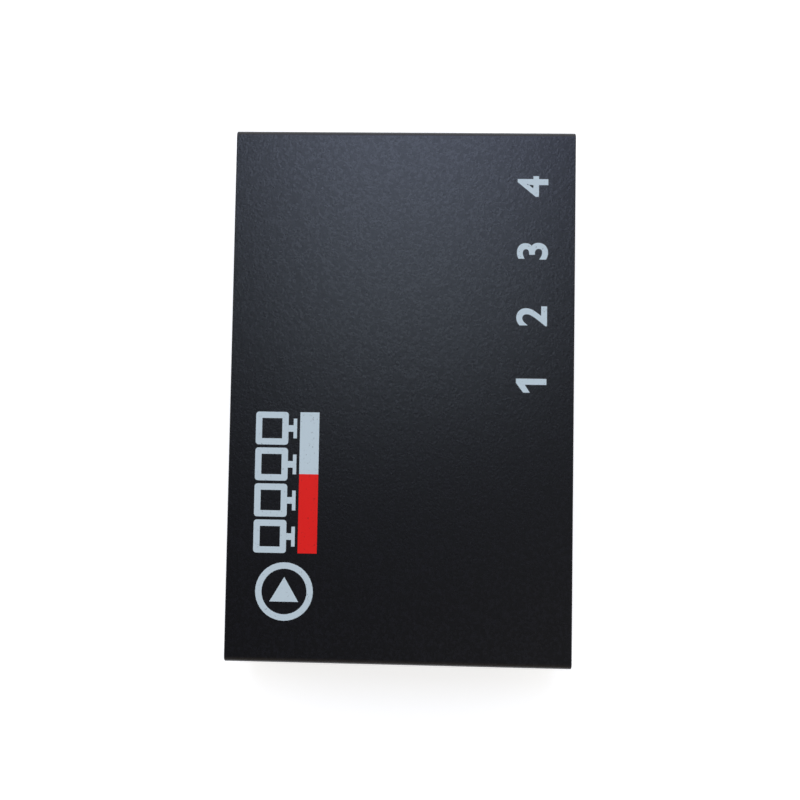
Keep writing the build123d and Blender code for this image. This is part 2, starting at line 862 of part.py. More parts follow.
# The slider stands at the -X end of its travel
slider_rest = Location((-switch_travel / 2, 0, 0))
knob_tip = -(switch_setback + sheet + knob_proud)
slider_front = switch_sheet + fit_gap
slider_back = slider_front + slider_foot_depth
with BuildPart() as switch_slider:
    with Locations((0, slider_front, switch_axis)):
        Box(
            slider_foot_width,
            slider_foot_depth,
            switch_height - 2 * (switch_sheet + 2 * fit_gap),
            align=(Align.CENTER, Align.MIN, Align.CENTER),
        )
        Box(knob_width, slider_front - knob_tip, knob_height, align=(Align.CENTER, Align.MAX, Align.CENTER))
    front_face = switch_slider.faces().filter_by(Axis.Y).sort_by(Axis.Y)[0]
    chamfer(front_face.edges(), length=knob_chamfer)
    with Locations((0, knob_tip, switch_axis)):
        with GridLocations(knob_width / (knob_grooves + 1), 1, knob_grooves, 1):
            Box(knob_groove, 2 * knob_groove, knob_height, mode=Mode.SUBTRACT)
save(switch_slider.part, "switch_slider", on_board * switch_place * slider_rest)

wiper_half = terminal_pitch / 2 + wiper_sheet
wiper_bump = base_front - terminal_pad_depth - fit_gap - wiper_sheet
with BuildPart() as switch_wiper:
    with BuildSketch(Plane.XY.offset(switch_axis - terminal_pad / 2)):
        with BuildLine():
            Polyline(
                (-wiper_half - wiper_sheet, slider_back + wiper_sheet),
                (-wiper_half, wiper_bump),
                (-wiper_half + wiper_bend, slider_back + wiper_sheet / 2),
                (wiper_half - wiper_bend, slider_back + wiper_sheet / 2),
                (wiper_half, wiper_bump),
                (wiper_half + wiper_sheet, slider_back + wiper_sheet),
            )
        trace(line_width=wiper_sheet)
    extrude(amount=terminal_pad)
save(switch_wiper.part, "switch_wiper", on_board * switch_place * slider_rest)

# Indicator lamps, drawn with the tip at y = 0 and the board's top at z = 0
lamp_dome = lamp_radius - lamp_tip_flat
lamp_bend_depth = lamp_length + lamp_lead_bend
anvil_depth = lamp_length - anvil_inset


def lamp_wires(mode=Mode.ADD):
    """Two leads, each with a wide plate inside the lens, bent down behind the lamp into the board."""
    for side in (-1, 1):
        with Locations((side * lamp_lead_spacing / 2, anvil_depth, socket_axis)):
            Box(
                lamp_lead,
                lamp_bend_depth - anvil_depth,
                lamp_lead,
                align=(Align.CENTER, Align.MIN, Align.CENTER),
                mode=mode,
            )
        with Locations((side * (lamp_lead_spacing + lamp_lead) / 2, anvil_depth, socket_axis)):
            Box(
                anvil_width,
                anvil_thickness,
                lamp_lead,
                align=(Align.MAX if side > 0 else Align.MIN, Align.MIN, Align.CENTER),
                mode=mode,
            )
        with Locations((side * lamp_lead_spacing / 2, lamp_bend_depth, socket_axis + lamp_lead / 2)):
            Box(
                lamp_lead,
                lamp_lead,
                lead_below + socket_axis + lamp_lead / 2,
                align=(Align.CENTER, Align.MAX, Align.MAX),
                mode=mode,
            )


with BuildPart() as lamp_lens:
    with BuildSketch(Plane.XY.offset(socket_axis)):
        with BuildLine():
            CenterArc((lamp_tip_flat, lamp_dome), lamp_dome, -90, 90)
            Polyline(
                (lamp_radius, lamp_dome),
                (lamp_radius, lamp_length - lamp_flange_height),
                (lamp_flange / 2, lamp_length - lamp_flange_height),
                (lamp_flange / 2, lamp_length),
                (0, lamp_length),
                (0, 0),
                (lamp_tip_flat, 0),
            )
        make_face()
    revolve(axis=Axis((0, 0, socket_axis), (0, 1, 0)))
    lamp_wires(Mode.SUBTRACT)

with BuildPart() as lamp_pair:
    lamp_wires()

for name, place in lamps.items():
    save(lamp_lens.part, f"{name}_lens", on_board * place)
with BuildPart() as lamp_leads:
    with Locations(*[on_board * place for place in lamps.values()]):
        add(lamp_pair.part)
save(lamp_leads.part, "lamp_leads")


# Chips and their leads
def at(centre, turn=0.0, height=0.0):
    """A place on the board's top."""
    return Location((centre[0], centre[1], board_top + height), (0, 0, turn))


def make_chip(length, width, thickness):
    """A moulded chip body standing just off the board, with a round mark at its first lead."""
    with BuildPart() as body:
        with Locations((0, 0, chip_standoff)):
            Box(length, width, thickness, align=(Align.CENTER, Align.CENTER, Align.MIN))
        top = body.faces().sort_by(Axis.Z)[-1]
        chamfer(top.edges(), length=chip_chamfer)
        with Locations((mark_inset - length / 2, mark_inset - width / 2, chip_standoff + thickness)):
            Hole(radius=mark_radius, depth=mark_depth)
    return body.part


def make_lead(root_height, width):
    """A flat lead that leaves a chip's side at root_height and steps down to a foot on the board."""
    with BuildPart() as lead:
        with BuildSketch(Plane.XZ):
            with BuildLine():
                Polyline(
                    (0, root_height),
                    (lead_shoulder, root_height),
                    (lead_knee, lead_thickness / 2),
                    (lead_reach, lead_thickness / 2),
                )
            trace(line_width=lead_thickness)
        extrude(amount=width / 2, both=True)
    return lead.part


def lead_places(centre, half, pitch, count, turns):
    """Places for rows of leads, one row on each side that a turn about the chip's centre gives."""
    row = [Location((half, (index - (count - 1) / 2) * pitch, 0)) for index in range(count)]
    return [at(centre, turn) * place for turn in turns for place in row]


splitter_chip = make_chip(chip_size, chip_size, chip_thickness)
save(splitter_chip, "splitter_chip", at(chip_centre))
with BuildPart() as splitter_chip_leads:
    with Locations(
        *lead_places(chip_centre, chip_size / 2, chip_lead_pitch, chip_leads_per_side, (0, 90, 180, 270))
    ):
        add(make_lead(chip_standoff + chip_thickness / 2, chip_lead_width))
save(splitter_chip_leads.part, "splitter_chip_leads")

chip_top = chip_standoff + chip_thickness
with BuildPart() as thermal_tape:
    Box(pad_size, pad_size, pad_thickness, align=(Align.CENTER, Align.CENTER, Align.MIN))
save(thermal_tape.part, "thermal_tape", at(chip_centre, height=chip_top))

fin_pitch = (chip_size - sink_fin) / (sink_fins - 1)
with BuildPart() as heatsink:
    Box(chip_size, chip_size, sink_base, align=(Align.CENTER, Align.CENTER, Align.MIN))
    with Locations((0, 0, sink_base)):
        with GridLocations(fin_pitch, fin_pitch, sink_fins, 1):
            Box(sink_fin, chip_size, sink_height - sink_base, align=(Align.CENTER, Align.CENTER, Align.MIN))
save(heatsink.part, "heatsink", at(chip_centre, height=chip_top + pad_thickness))

buffer_centres = [(x, buffer_y) for x in output_xs]
with BuildPart() as buffer_chips:
    with Locations(*[at(centre) for centre in buffer_centres]):
        add(make_chip(buffer_length, buffer_width, buffer_thickness))
save(buffer_chips.part, "buffer_chips")
buffer_lead_places = []
for centre in buffer_centres:
    buffer_lead_places += lead_places(
        centre, buffer_width / 2, buffer_lead_pitch, buffer_leads_per_side, (90, 270)
    )
with BuildPart() as buffer_chip_leads:
    with Locations(*buffer_lead_places):
        add(make_lead(chip_standoff + buffer_thickness / 2, buffer_lead_width))
save(buffer_chip_leads.part, "buffer_chip_leads")

save(make_chip(memory_length, memory_width, memory_thickness), "memory_chip", at(memory_centre))
with BuildPart() as memory_chip_leads:
    with Locations(
        *lead_places(memory_centre, memory_width / 2, memory_lead_pitch, memory_leads_per_side, (90, 270))
    ):
        add(make_lead(chip_standoff + memory_thickness / 2, memory_lead_width))
save(memory_chip_leads.part, "memory_chip_leads")

# Power parts
regulator_root = chip_standoff + regulator_thickness / 2
with BuildPart() as voltage_regulators:
    with Locations(*[at(centre) for centre in regulator_centres]):
        add(make_chip(regulator_length, regulator_width, regulator_thickness))
save(voltage_regulators.part, "voltage_regulators")
with BuildPart() as regulator_leads:
    for centre in regulator_centres:
        row = lead_places(centre, regulator_width / 2, regulator_lead_pitch, regulator_leads_per_side, (270,))
        with Locations(*row):
            add(make_lead(regulator_root, regulator_lead_width))
        with Locations(*lead_places(centre, regulator_width / 2, regulator_lead_pitch, 1, (90,))):
            add(make_lead(regulator_root, regulator_tab))
save(regulator_leads.part, "regulator_leads")

with BuildPart() as power_inductor:
    with BuildSketch():
        RectangleRounded(inductor_size, inductor_size, inductor_corner)
    extrude(amount=inductor_height)
    fillet(power_inductor.faces().sort_by(Axis.Z)[-1].edges(), radius=inductor_edge)
save(power_inductor.part, "power_inductor", at(inductor_centre))

with BuildPart() as capacitor_base_part:
    with BuildSketch():
        Rectangle(capacitor_base, capacitor_base)
    extrude(amount=capacitor_base_height)
    keyed = capacitor_base_part.edges().filter_by(Axis.Z).group_by(Axis.X)[-1]
    chamfer(keyed, length=capacitor_base_corner)
can_radius = capacitor_can / 2
crimp_z = capacitor_base_height + capacitor_crimp_height
with BuildPart() as capacitor_can_part:
    with BuildSketch(Plane.XZ):
        with BuildLine():
            Polyline(
                (0, capacitor_base_height),
                (can_radius, capacitor_base_height),
                (can_radius, crimp_z - capacitor_crimp),
                (can_radius - capacitor_crimp, crimp_z),
                (can_radius, crimp_z + capacitor_crimp),
                (can_radius, capacitor_height - capacitor_crimp),
                (can_radius - capacitor_crimp, capacitor_height),
                (0, capacitor_height),
                close=True,
            )
        make_face()
    revolve(axis=Axis.Z)
capacitor_places = [at(centre) for centre in capacitor_centres]
with BuildPart() as capacitor_bases:
    with Locations(*capacitor_places):
        add(capacitor_base_part.part)
save(capacitor_bases.part, "capacitor_bases")
with BuildPart() as capacitor_cans:
    with Locations(*capacitor_places):
        add(capacitor_can_part.part)
save(capacitor_cans.part, "capacitor_cans")

with BuildPart() as crystal_base:
    Box(crystal_length, crystal_width, crystal_base_height, align=(Align.CENTER, Align.CENTER, Align.MIN))
save(crystal_base.part, "crystal_base", at(crystal_centre))
flange_length = crystal_length - crystal_side_gap
flange_width = crystal_width - crystal_side_gap
with BuildPart() as crystal_can:
    with BuildSketch():
        SlotOverall(flange_length, flange_width)
    extrude(amount=crystal_flange)
    with BuildSketch(Plane.XY.offset(crystal_flange)):
        SlotOverall(flange_length - 2 * crystal_flange, flange_width - 2 * crystal_flange)
    extrude(amount=crystal_height - crystal_base_height - crystal_flange)
    fillet(crystal_can.faces().sort_by(Axis.Z)[-1].edges(), radius=crystal_flange)
save(crystal_can.part, "crystal_can", at(crystal_centre, height=crystal_base_height))

with BuildPart() as protection_diode:
    Box(diode_length, diode_width, diode_height, align=(Align.CENTER, Align.CENTER, Align.MIN))
    chamfer(protection_diode.faces().sort_by(Axis.Z)[-1].edges(), length=diode_chamfer)
save(protection_diode.part, "protection_diode", at(diode_centre))

# Chip resistors near the sockets and lamps, chip capacitors round the large chip
resistor_places = []
for centre_x, row_y in [(x, resistor_row_y) for x in output_xs] + [(input_x, -resistor_row_y)]:
    for index in range(resistors_per_socket):
        offset_x = (index - (resistors_per_socket - 1) / 2) * resistor_pitch
        resistor_places.append(at((centre_x + offset_x, row_y), 90))
resistor_places += [at((x, -lamp_resistor_y)) for x in (power_lamp_x, *status_lamp_xs)]
with BuildPart() as chip_resistors:
    with Locations(*resistor_places):
        Box(small_length, small_width, resistor_height, align=(Align.CENTER, Align.CENTER, Align.MIN))
save(chip_resistors.part, "chip_resistors")
ceramic_places = lead_places(chip_centre, ceramic_ring, ceramic_pitch, ceramics_per_row, (0, 90, 180, 270))
with BuildPart() as chip_capacitors:
    with Locations(*ceramic_places):
        Box(small_length, small_width, ceramic_height, align=(Align.CENTER, Align.CENTER, Align.MIN))
save(chip_capacitors.part, "chip_capacitors")

# Circuit board, with a hole or slot for every leg
def cut_slots(spots, leg_width, turn=0):
    """Slots through the board for flat legs, long side along X, or along Y when turned."""
    with Locations(*spots):
        SlotOverall(leg_width + slot_play, slot_width, rotation=turn, mode=Mode.SUBTRACT)


def spots(place, points):
    """Points of a part's own frame as places on the board."""
    return [(place * Location((x, y, 0))).position for x, y in points]


shell_legs = [(side * shell_half, y) for side in (-1, 1) for y in shell_leg_rows]
switch_legs = [(side * switch_leg_x, switch_leg_depth) for side in (-1, 1)]
terminal_depth = switch_depth + terminal_behind - terminal_sheet / 2
terminal_points = [(step * terminal_pitch, terminal_depth) for step in (-1, 0, 1)]
lamp_points = [(side * lamp_lead_spacing / 2, lamp_bend_depth - lamp_lead / 2) for side in (-1, 1)]
with BuildPart() as circuit_board:
    with BuildSketch(Plane.XY.offset(board_z)):
        RectangleRounded(board_length, board_depth, board_corner_radius)
        for place in sockets.values():
            cut_slots(spots(place, shell_legs), shell_leg_width, 90)
        cut_slots(spots(jack_place, [(0, jack_length + jack_leg_thickness / 2)]), jack_leg_width)
        cut_slots(spots(jack_place, [(0, jack_leg_depth)]), jack_spring_width)
        side_leg = (side_face - jack_leg_thickness / 2, jack_side_leg_depth)
        cut_slots(spots(jack_place, [side_leg]), jack_leg_width, 90)
        cut_slots(spots(switch_place, switch_legs), switch_leg_width, 90)
        with Locations(*spots(switch_place, terminal_points)):
            Circle((terminal_width + slot_play) / 2, mode=Mode.SUBTRACT)
        for place in lamps.values():
            with Locations(*spots(place, lamp_points)):
                Circle((lamp_lead + slot_play) / 2, mode=Mode.SUBTRACT)
        with Locations(*standoff_points):
            Circle(board_screw_thread / 2 + board_screw_play, mode=Mode.SUBTRACT)
    extrude(amount=board_thickness)
save(circuit_board.part, "circuit_board")
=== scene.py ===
"""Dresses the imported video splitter: coated steel, print, soldered board, sockets and lamps, on a pale stage.

The long side of the case lies along X, its input panel faces -Y and its output panel faces +Y. Blender counts
in metres; lengths below that are written in millimetres are multiplied by MM.
"""

import json
import math

import bmesh
import bpy
from mathutils import Matrix, Vector


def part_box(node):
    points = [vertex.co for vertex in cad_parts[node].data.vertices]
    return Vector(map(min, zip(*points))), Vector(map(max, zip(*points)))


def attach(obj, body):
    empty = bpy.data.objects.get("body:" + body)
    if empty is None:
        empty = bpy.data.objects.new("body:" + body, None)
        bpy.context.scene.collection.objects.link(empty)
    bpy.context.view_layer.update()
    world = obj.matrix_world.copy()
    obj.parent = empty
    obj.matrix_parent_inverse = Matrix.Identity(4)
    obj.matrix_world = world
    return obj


bl_info = {
    "name": "Video splitter finish",
    "version": (1, 0, 0),
    "blender": (4, 5, 0),
    "location": "3D View > Sidebar > Splitter",
    "description": "Finishes, print, solder and stage for a one-in four-out video splitter",
    "category": "Object",
}

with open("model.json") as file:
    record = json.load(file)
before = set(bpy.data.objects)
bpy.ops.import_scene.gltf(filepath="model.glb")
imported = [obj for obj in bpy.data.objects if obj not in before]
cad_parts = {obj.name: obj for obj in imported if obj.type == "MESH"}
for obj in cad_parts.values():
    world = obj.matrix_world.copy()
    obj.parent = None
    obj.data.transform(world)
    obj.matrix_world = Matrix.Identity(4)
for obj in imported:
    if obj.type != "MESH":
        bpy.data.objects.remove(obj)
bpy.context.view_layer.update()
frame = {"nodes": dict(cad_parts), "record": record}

MM = 0.001
SOCKETS = ("input_socket", "output_socket_1", "output_socket_2", "output_socket_3", "output_socket_4")
STATUS_LAMPS = ("status_lamp_1_lens", "status_lamp_2_lens", "status_lamp_3_lens", "status_lamp_4_lens")
OUTPUTS = SOCKETS[1:]

# What comes through the board besides the sockets, what has flat leads on it, and what gets a printed frame
JACK_PARTS = ("jack_pin", "jack_spring", "jack_side_contact")
LEGGED_PARTS = (*JACK_PARTS, "switch_frame", "switch_terminals", "lamp_leads")
FLAT_LEADS = ("splitter_chip_leads", "buffer_chip_leads", "memory_chip_leads", "regulator_leads")
FRAMED_CHIPS = ("splitter_chip_leads", "memory_chip_leads")
FRAMED_PARTS = (*FRAMED_CHIPS, "crystal_base", "power_inductor", "protection_diode")

# The photographer's view in metres: from above, leaning slightly towards the -X end and the input panel
VIEW_PLACE = (-0.008983, -0.005503, 0.200355)
VIEW_RIGHT = (0.016824, -0.999372, -0.031188)
VIEW_UP = (0.998859, 0.015405, 0.045201)
VIEW_BACK = (-0.044692, -0.031913, 0.998491)

# The two soft lights in metres: the middle, then the size across and along the case
PANEL_PLACE, PANEL_SIZE = (0.33, 0.045, 0.933), (0.36, 0.54)
WINDOW_PLACE, WINDOW_SIZE = (0.56, 0.005, 0.82), (0.41, 0.6)

# Turns of a shape that stands on the board, and of one that hangs under it
UPRIGHT, HANGING = (0.0, 0.0, 0.0), (math.pi, 0.0, 0.0)

# Nearly all values of a noise texture lie between these two
NOISE_REACH = (0.3, 0.7)

# How much of the cover's bar is red, from its -X end
RED_SHARE = 0.56

# The room's light changes between these values of a direction: of its X from the far wall to the others,
# of X + Y away from the -X -Y corner, and of its Z from the walls to the ceiling
FAR_WALL_REACH, CORNER_REACH, CEILING_REACH = (-0.85, 0.0), (-0.42, -0.05), (0.5, 0.86)

# The ceiling's light over that corner and elsewhere, as multiples of its setting
CORNER_LIGHT, CEILING_LIGHT = 3.0, 0.6

SENSOR_WIDTH = 36.0
WHITE = (1.0, 1.0, 1.0, 1.0)


def linear(hex_code):
    """An sRGB hex colour as linear red, green, blue and a full alpha."""
    shares = [int(hex_code[start : start + 2], 16) / 255 for start in (1, 3, 5)]
    return (*[s / 12.92 if s <= 0.04045 else ((s + 0.055) / 1.055) ** 2.4 for s in shares], 1.0)


def colour(name, description, hex_code):
    """A colour setting with its default."""
    return bpy.props.FloatVectorProperty(
        name=name, description=description, subtype="COLOR", size=4, min=0, max=1, default=linear(hex_code)
    )


def amount(name, description, value, **kind):
    """A number setting, never negative, with its default."""
    return bpy.props.FloatProperty(name=name, description=description, min=0, default=value, **kind)


def length(name, description, millimetres):
    """A length setting with its default."""
    return amount(name, description, millimetres * MM, subtype="DISTANCE", unit="LENGTH", precision=6)


def power(name, description, watts):
    """A setting for the power of a light."""
    return amount(name, description, watts, subtype="POWER", unit="POWER")


def level(name, description, value):
    """A brightness setting, where 1 shows as white."""
    return amount(name, description, value, max=4)


def share(name, description, value):
    """A setting between nothing and all."""
    return amount(name, description, value, subtype="FACTOR", max=1)


class CoatSettings(bpy.types.PropertyGroup):
    """The powder coat of the two case sheets."""

    tone: colour("Coat", "Colour of the powder coat", "#0D0D10")
    fleck: colour("Coat fleck", "Lighter grains in the powder coat", "#1B1B20")
    grain: length("Grain", "Width of one grain of the coat's fine texture", 0.53)
    peel: length("Peel", "Width of one wave of the coat's orange peel", 2.2)
    grain_height: length("Grain height", "Height of the fine texture", 0.028)
    peel_height: length("Peel height", "Height of the orange peel", 0.016)
    roughness: share("Roughness", "Mean roughness of the coat", 0.28)
    dulling: share("Dull grains", "How much rougher the dullest grains are than the mean", 0.03)


class PrintSettings(bpy.types.PropertyGroup):
    """The print on the cover, the panels, the board and the parts on it."""

    ink: colour("Pale ink", "Colour of the pale print", "#D8E9EE")
    red_ink: colour("Red ink", "Colour of the red bar", "#FF1408")
    legend: colour("Board legend", "Colour of the print on the circuit board", "#E9EAE4")
    marking: colour("Marking ink", "Colour of the dark print on pale parts", "#1D1E21")
    film: length("Ink film", "Thickness of a print's ink", 0.008)
    numeral: length("Numeral size", "Font size of the numerals on the cover", 8.2)
    panel_numeral: length("Panel numeral size", "Font size of the numerals on the panels", 3.2)
    board_numeral: length("Board numeral size", "Font size of the numerals on the circuit board", 2.2)
    weight: length("Numeral weight", "How much the cover's numerals are thickened all round", 0.2)
    panel_weight: length("Panel numeral weight", "How much the panels' numerals are thickened", 0.06)
    symbol_length: length("Symbol length", "Length of the symbol on the cover", 41.0)
    symbol_height: length("Symbol height", "Height of the symbol on the cover", 12.6)
    symbol_stroke: length("Symbol stroke", "Width of the symbol's lines", 1.25)
    symbol_bar: length("Symbol bar", "Height of the bar under the screens", 3.8)
    symbol_inset: length("Symbol inset", "Distance from the symbol to the cover's -X end", 8.3)
    symbol_rise: length("Symbol place", "Distance from the case's middle to the symbol's lower edge", 16.1)
    numeral_row: length("Numeral row", "Distance from the case's middle to the numerals", 25.9)
    panel_line: length("Panel line", "Distance from the sockets' middle up to the panels' print", 6.1)
    panel_stroke: length("Panel stroke", "Width of the lines of the panels' symbols", 0.28)
    polarity_drop: length("Polarity place", "Distance from the jack's middle down to its symbol", 7.6)
    legend_stroke: length("Legend stroke", "Width of the lines on the circuit board", 0.16)
    legend_margin: length("Legend margin", "Distance between a part and the frame printed round it", 0.7)


class MetalSettings(bpy.types.PropertyGroup):
    """Screws, standoffs, shells, contacts and cans."""

    screw: colour("Screw", "Black oxide of the cover screws", "#26272A")
    zinc: colour("Zinc", "Zinc plating of standoffs and board screws", "#BFC4CC")
    nickel: colour("Nickel", "Nickel plating of shells and cans", "#C2BFB6")
    gold: colour("Gold", "Gold plating of the contacts", "#E2B65C")
    silver: colour("Silver", "Silver plating of the switch's wiper and terminals", "#D2CDC2")
    tin: colour("Tin", "Tin plating of leads", "#BFC1C2")
    aluminium: colour("Aluminium", "Bare aluminium of the capacitor cans", "#B9BCC0")
    anodised: colour("Anodised", "Black anodised aluminium of the heat sink", "#454549")


class PlasticSettings(bpy.types.PropertyGroup):
    """Plastics, rubber, lenses and moulded chips."""

    rubber: colour("Rubber", "Rubber of the feet", "#161616")
    insulator: colour("Socket plastic", "Plastic inside the video sockets", "#141416")
    jack: colour("Jack plastic", "Plastic of the power jack", "#18181A")
    knob: colour("Knob", "Plastic of the switch's slider", "#1D1D1F")
    chip: colour("Chip", "Moulded resin of the chips", "#262729")
    thermal_pad: colour("Thermal pad", "Silicone pad under the heat sink", "#9FB2C6")
    ferrite: colour("Ferrite", "Pressed iron powder of the inductor", "#3A3B3F")
    resistor: colour("Resistor", "Glassed top of the chip resistors", "#1B1B1D")
    ceramic: colour("Ceramic", "Body of the chip capacitors", "#9A7B58")
    red_lens: colour("Red lens", "Tint of the power lamp", "#E0463C")
    green_lens: colour("Green lens", "Tint of the status lamps", "#5FBF6A")


class BoardSettings(bpy.types.PropertyGroup):
    """The circuit board and what is soldered to it."""

    mask: colour("Solder mask", "Green lacquer over bare laminate", "#0C4A2B")
    track: colour("Mask on copper", "Green lacquer where it covers copper", "#166B3D")
    laminate: colour("Laminate", "Glass-epoxy at the board's edges", "#B7A76D")
    track_pitch: length("Track pitch", "Distance between two tracks, coarser than real ones", 1.1)
    pad_height: length("Pad height", "Height of solder on a flat pad", 0.06)
    pad_margin: length("Pad margin", "How far a pad stands out round a lead", 0.14)
    joint_height: length("Joint height", "Height of the solder round a leg", 0.75)
    joint_margin: length("Joint margin", "How far the solder's foot stands out round a leg", 0.55)
    via_pitch: length("Via pitch", "Distance between the holes along the board's ends", 3.0)
    via_width: length("Via width", "Width of the ring round such a hole", 0.7)
    via_inset: length("Via inset", "Distance from such a hole to the board's edge", 1.3)
    via_height: length("Via height", "Height of the ring round such a hole", 0.03)
    cap_length: length("End cap", "Length of the metal end of a chip resistor or capacitor", 0.34)
    cap_wall: length("End cap wall", "Thickness of that metal end", 0.02)
    fillet_reach: length("Fillet reach", "How far solder stands out beyond that end", 0.3)


class StageSettings(bpy.types.PropertyGroup):
    """Floor, light and camera."""

    floor: colour("Floor", "Colour of the floor", "#F4F4F2")
    floor_width: length("Floor width", "Width of the floor", 6000.0)
    panel_power: power("Panel light", "Power of the soft panel above", 1.24)
    panel_colour: colour("Panel colour", "Colour of the soft panel above", "#DEEEFF")
    window_power: power("Window light", "Power of the large window", 1.75)
    window_colour: colour("Window colour", "Colour of the large window", "#C6D0FF")
    walls: level("Wall light", "How bright the studio's pale walls are", 1.15)
    far_wall: level("Far wall light", "How bright the wall beyond the -X end is", 0.45)
    far_colour: colour("Far wall colour", "Colour of the wall beyond the -X end", "#F3E4D8")
    ceiling: level("Ceiling light", "How bright the studio's ceiling is", 0.07)
    floor_lift: level("Floor lift", "Light added to the floor for the camera and for reflections", 0.62)
    lens: length("Lens", "Focal length for a sensor 36 mm wide", 40.76)


def first_output(node):
    """The first output socket of a node that is in use."""
    return next(socket for socket in node.outputs if socket.enabled)


def add_node(tree, kind, inputs=None, **settings):
    """Adds one node with its own settings. An input takes a value, an output or a node's first output."""
    node = tree.nodes.new(kind)
    for name, value in settings.items():
        setattr(node, name, value)
    for key, value in (inputs or {}).items():
        socket = next(s for s in node.inputs if key in (s.identifier, s.name) and s.enabled)
        if isinstance(value, bpy.types.Node):
            value = first_output(value)
        if isinstance(value, bpy.types.NodeSocket):
            tree.links.new(value, socket)
        else:
            socket.default_value = value
    return node


def new_finish(name, **sockets):
    """A material, its tree, its Principled shader with the finish's constants, and Object coordinates."""
    material = bpy.data.materials.new(name)
    material.use_nodes = True
    tree = material.node_tree
    shader = tree.nodes["Principled BSDF"]
    for key, value in sockets.items():
        shader.inputs[key.replace("_", " ")].default_value = value
    return material, tree, shader, add_node(tree, "ShaderNodeTexCoord").outputs["Object"]


def texture(tree, shader, blotch, tones, grit, gloss, reliefs=(), reach=NOISE_REACH):
    """Gives a shader a colour between two tones, a roughness between two values, and reliefs with heights."""
    tone = add_node(
        tree,
        "ShaderNodeMix",
        {"Factor_Float": blotch, "A_Color": tones[0], "B_Color": tones[1]},
        data_type="RGBA",
    )
    dull = add_node(
        tree,
        "ShaderNodeMapRange",
        {"Value": grit, "From Min": reach[0], "From Max": reach[1], "To Min": gloss[0], "To Max": gloss[1]},
    )
    bump = None
    for relief, height in reliefs:
        under = {"Normal": bump} if bump else {}
        bump = add_node(tree, "ShaderNodeBump", {"Height": relief, "Distance": height, **under})
    for source, socket in ((tone, "Base Color"), (dull, "Roughness"), (bump, "Normal")):
        if source:
            tree.links.new(first_output(source), shader.inputs[socket])


def darker(tone, light):
    """A colour with its light multiplied, by less than 1 to darken it."""
    return (*[channel * light for channel in tone[:3]], 1.0)


# Finishes
def powder_coated_steel(look):
    """Black powder coat on steel, sprayed and baked: a satin shine broken by fine grain and orange peel."""
    material, tree, shader, place = new_finish("powder_coated_steel", Specular_IOR_Level=0.5)
    # Real grains are about 0.1 mm across. They are drawn as wide as the photograph shows them
    grain, speck, peel = (
        add_node(
            tree,
            "ShaderNodeTexNoise",
            {"Vector": place, "Scale": scale, "Detail": 2.0, "Roughness": harshness},
        )
        for scale, harshness in ((1 / look.grain, 0.7), (0.8 / look.grain, 0.6), (1 / look.peel, 0.5))
    )
    fleck = add_node(tree, "ShaderNodeMapRange", {"Value": speck, "From Min": 0.42, "From Max": 0.68})
    tones = (look.tone, look.fleck)
    gloss = (look.roughness + look.dulling, look.roughness - look.dulling)
    reliefs = ((grain, look.grain_height), (peel, look.peel_height))
    texture(tree, shader, fleck, tones, speck, gloss, reliefs, reach=(0.35, 0.65))
    return material


def moulded(name, tone, grain, roughness, height, shine=0.5):
    """Filled plastic, resin or rubber from a sparked mould: a skin whose matt grain dulls the shine."""
    material, tree, shader, place = new_finish(name, Specular_IOR_Level=shine)
    noise, flow = (
        add_node(tree, "ShaderNodeTexNoise", {"Vector": place, "Scale": 1 / (width * MM), "Detail": detail})
        for width, detail in ((grain, 4.0), (12 * grain, 2.0))
    )
    tones = (darker(tone, 0.75), darker(tone, 1.3))
    gloss = (roughness - 0.08, roughness + 0.08)
    texture(tree, shader, flow, tones, noise, gloss, [(noise, height * MM)])
    return material


def plated(name, tone, roughness, grain, stretch=(1.0, 1.0, 1.0), height=0.002):
    """Plated or brushed metal: a mirror dulled by rolling marks that run along the stretched direction."""
    material, tree, shader, place = new_finish(name, Metallic=1.0)
    lines = add_node(tree, "ShaderNodeMapping", {"Vector": place, "Scale": stretch})
    noise, stain = (
        add_node(tree, "ShaderNodeTexNoise", {"Vector": vector, "Scale": 1 / (width * MM), "Detail": detail})
        for vector, width, detail in ((lines, grain, 3.0), (place, 4, 2.0))
    )
    tones = (darker(tone, 0.86), darker(tone, 1.08))
    gloss = (roughness - 0.07, roughness + 0.07)
    texture(tree, shader, stain, tones, noise, gloss, [(noise, height * MM)])
    return material


def tinted_epoxy(name, tone):
    """Dyed cast epoxy of a lamp's lens: see-through, with the milky scatter of a diffused lens."""
    material, tree, shader, place = new_finish(name, IOR=1.55, Transmission_Weight=0.75)
    haze = add_node(tree, "ShaderNodeTexNoise", {"Vector": place, "Scale": 1 / (0.9 * MM), "Detail": 3.0})
    texture(tree, shader, haze, (darker(tone, 0.85), tone), haze, (0.16, 0.26))
    return material


def screen_ink(name, tone):
    """Screen-printed ink on powder coat: flat and even, with the coat's grain showing through as pinholes."""
    material, tree, shader, place = new_finish(name, Specular_IOR_Level=0.4)
    grain, patch = (
        add_node(tree, "ShaderNodeTexNoise", {"Vector": place, "Scale": 1 / (width * MM), "Detail": detail})
        for width, detail in ((0.42, 3.0), (1.6, 2.0))
    )
    pinhole = add_node(tree, "ShaderNodeMapRange", {"Value": grain, "From Min": 0.26, "From Max": 0.36})
    texture(tree, shader, pinhole, (darker(tone, 0.6), tone), patch, (0.5, 0.62), [(grain, 0.006 * MM)])
    return material


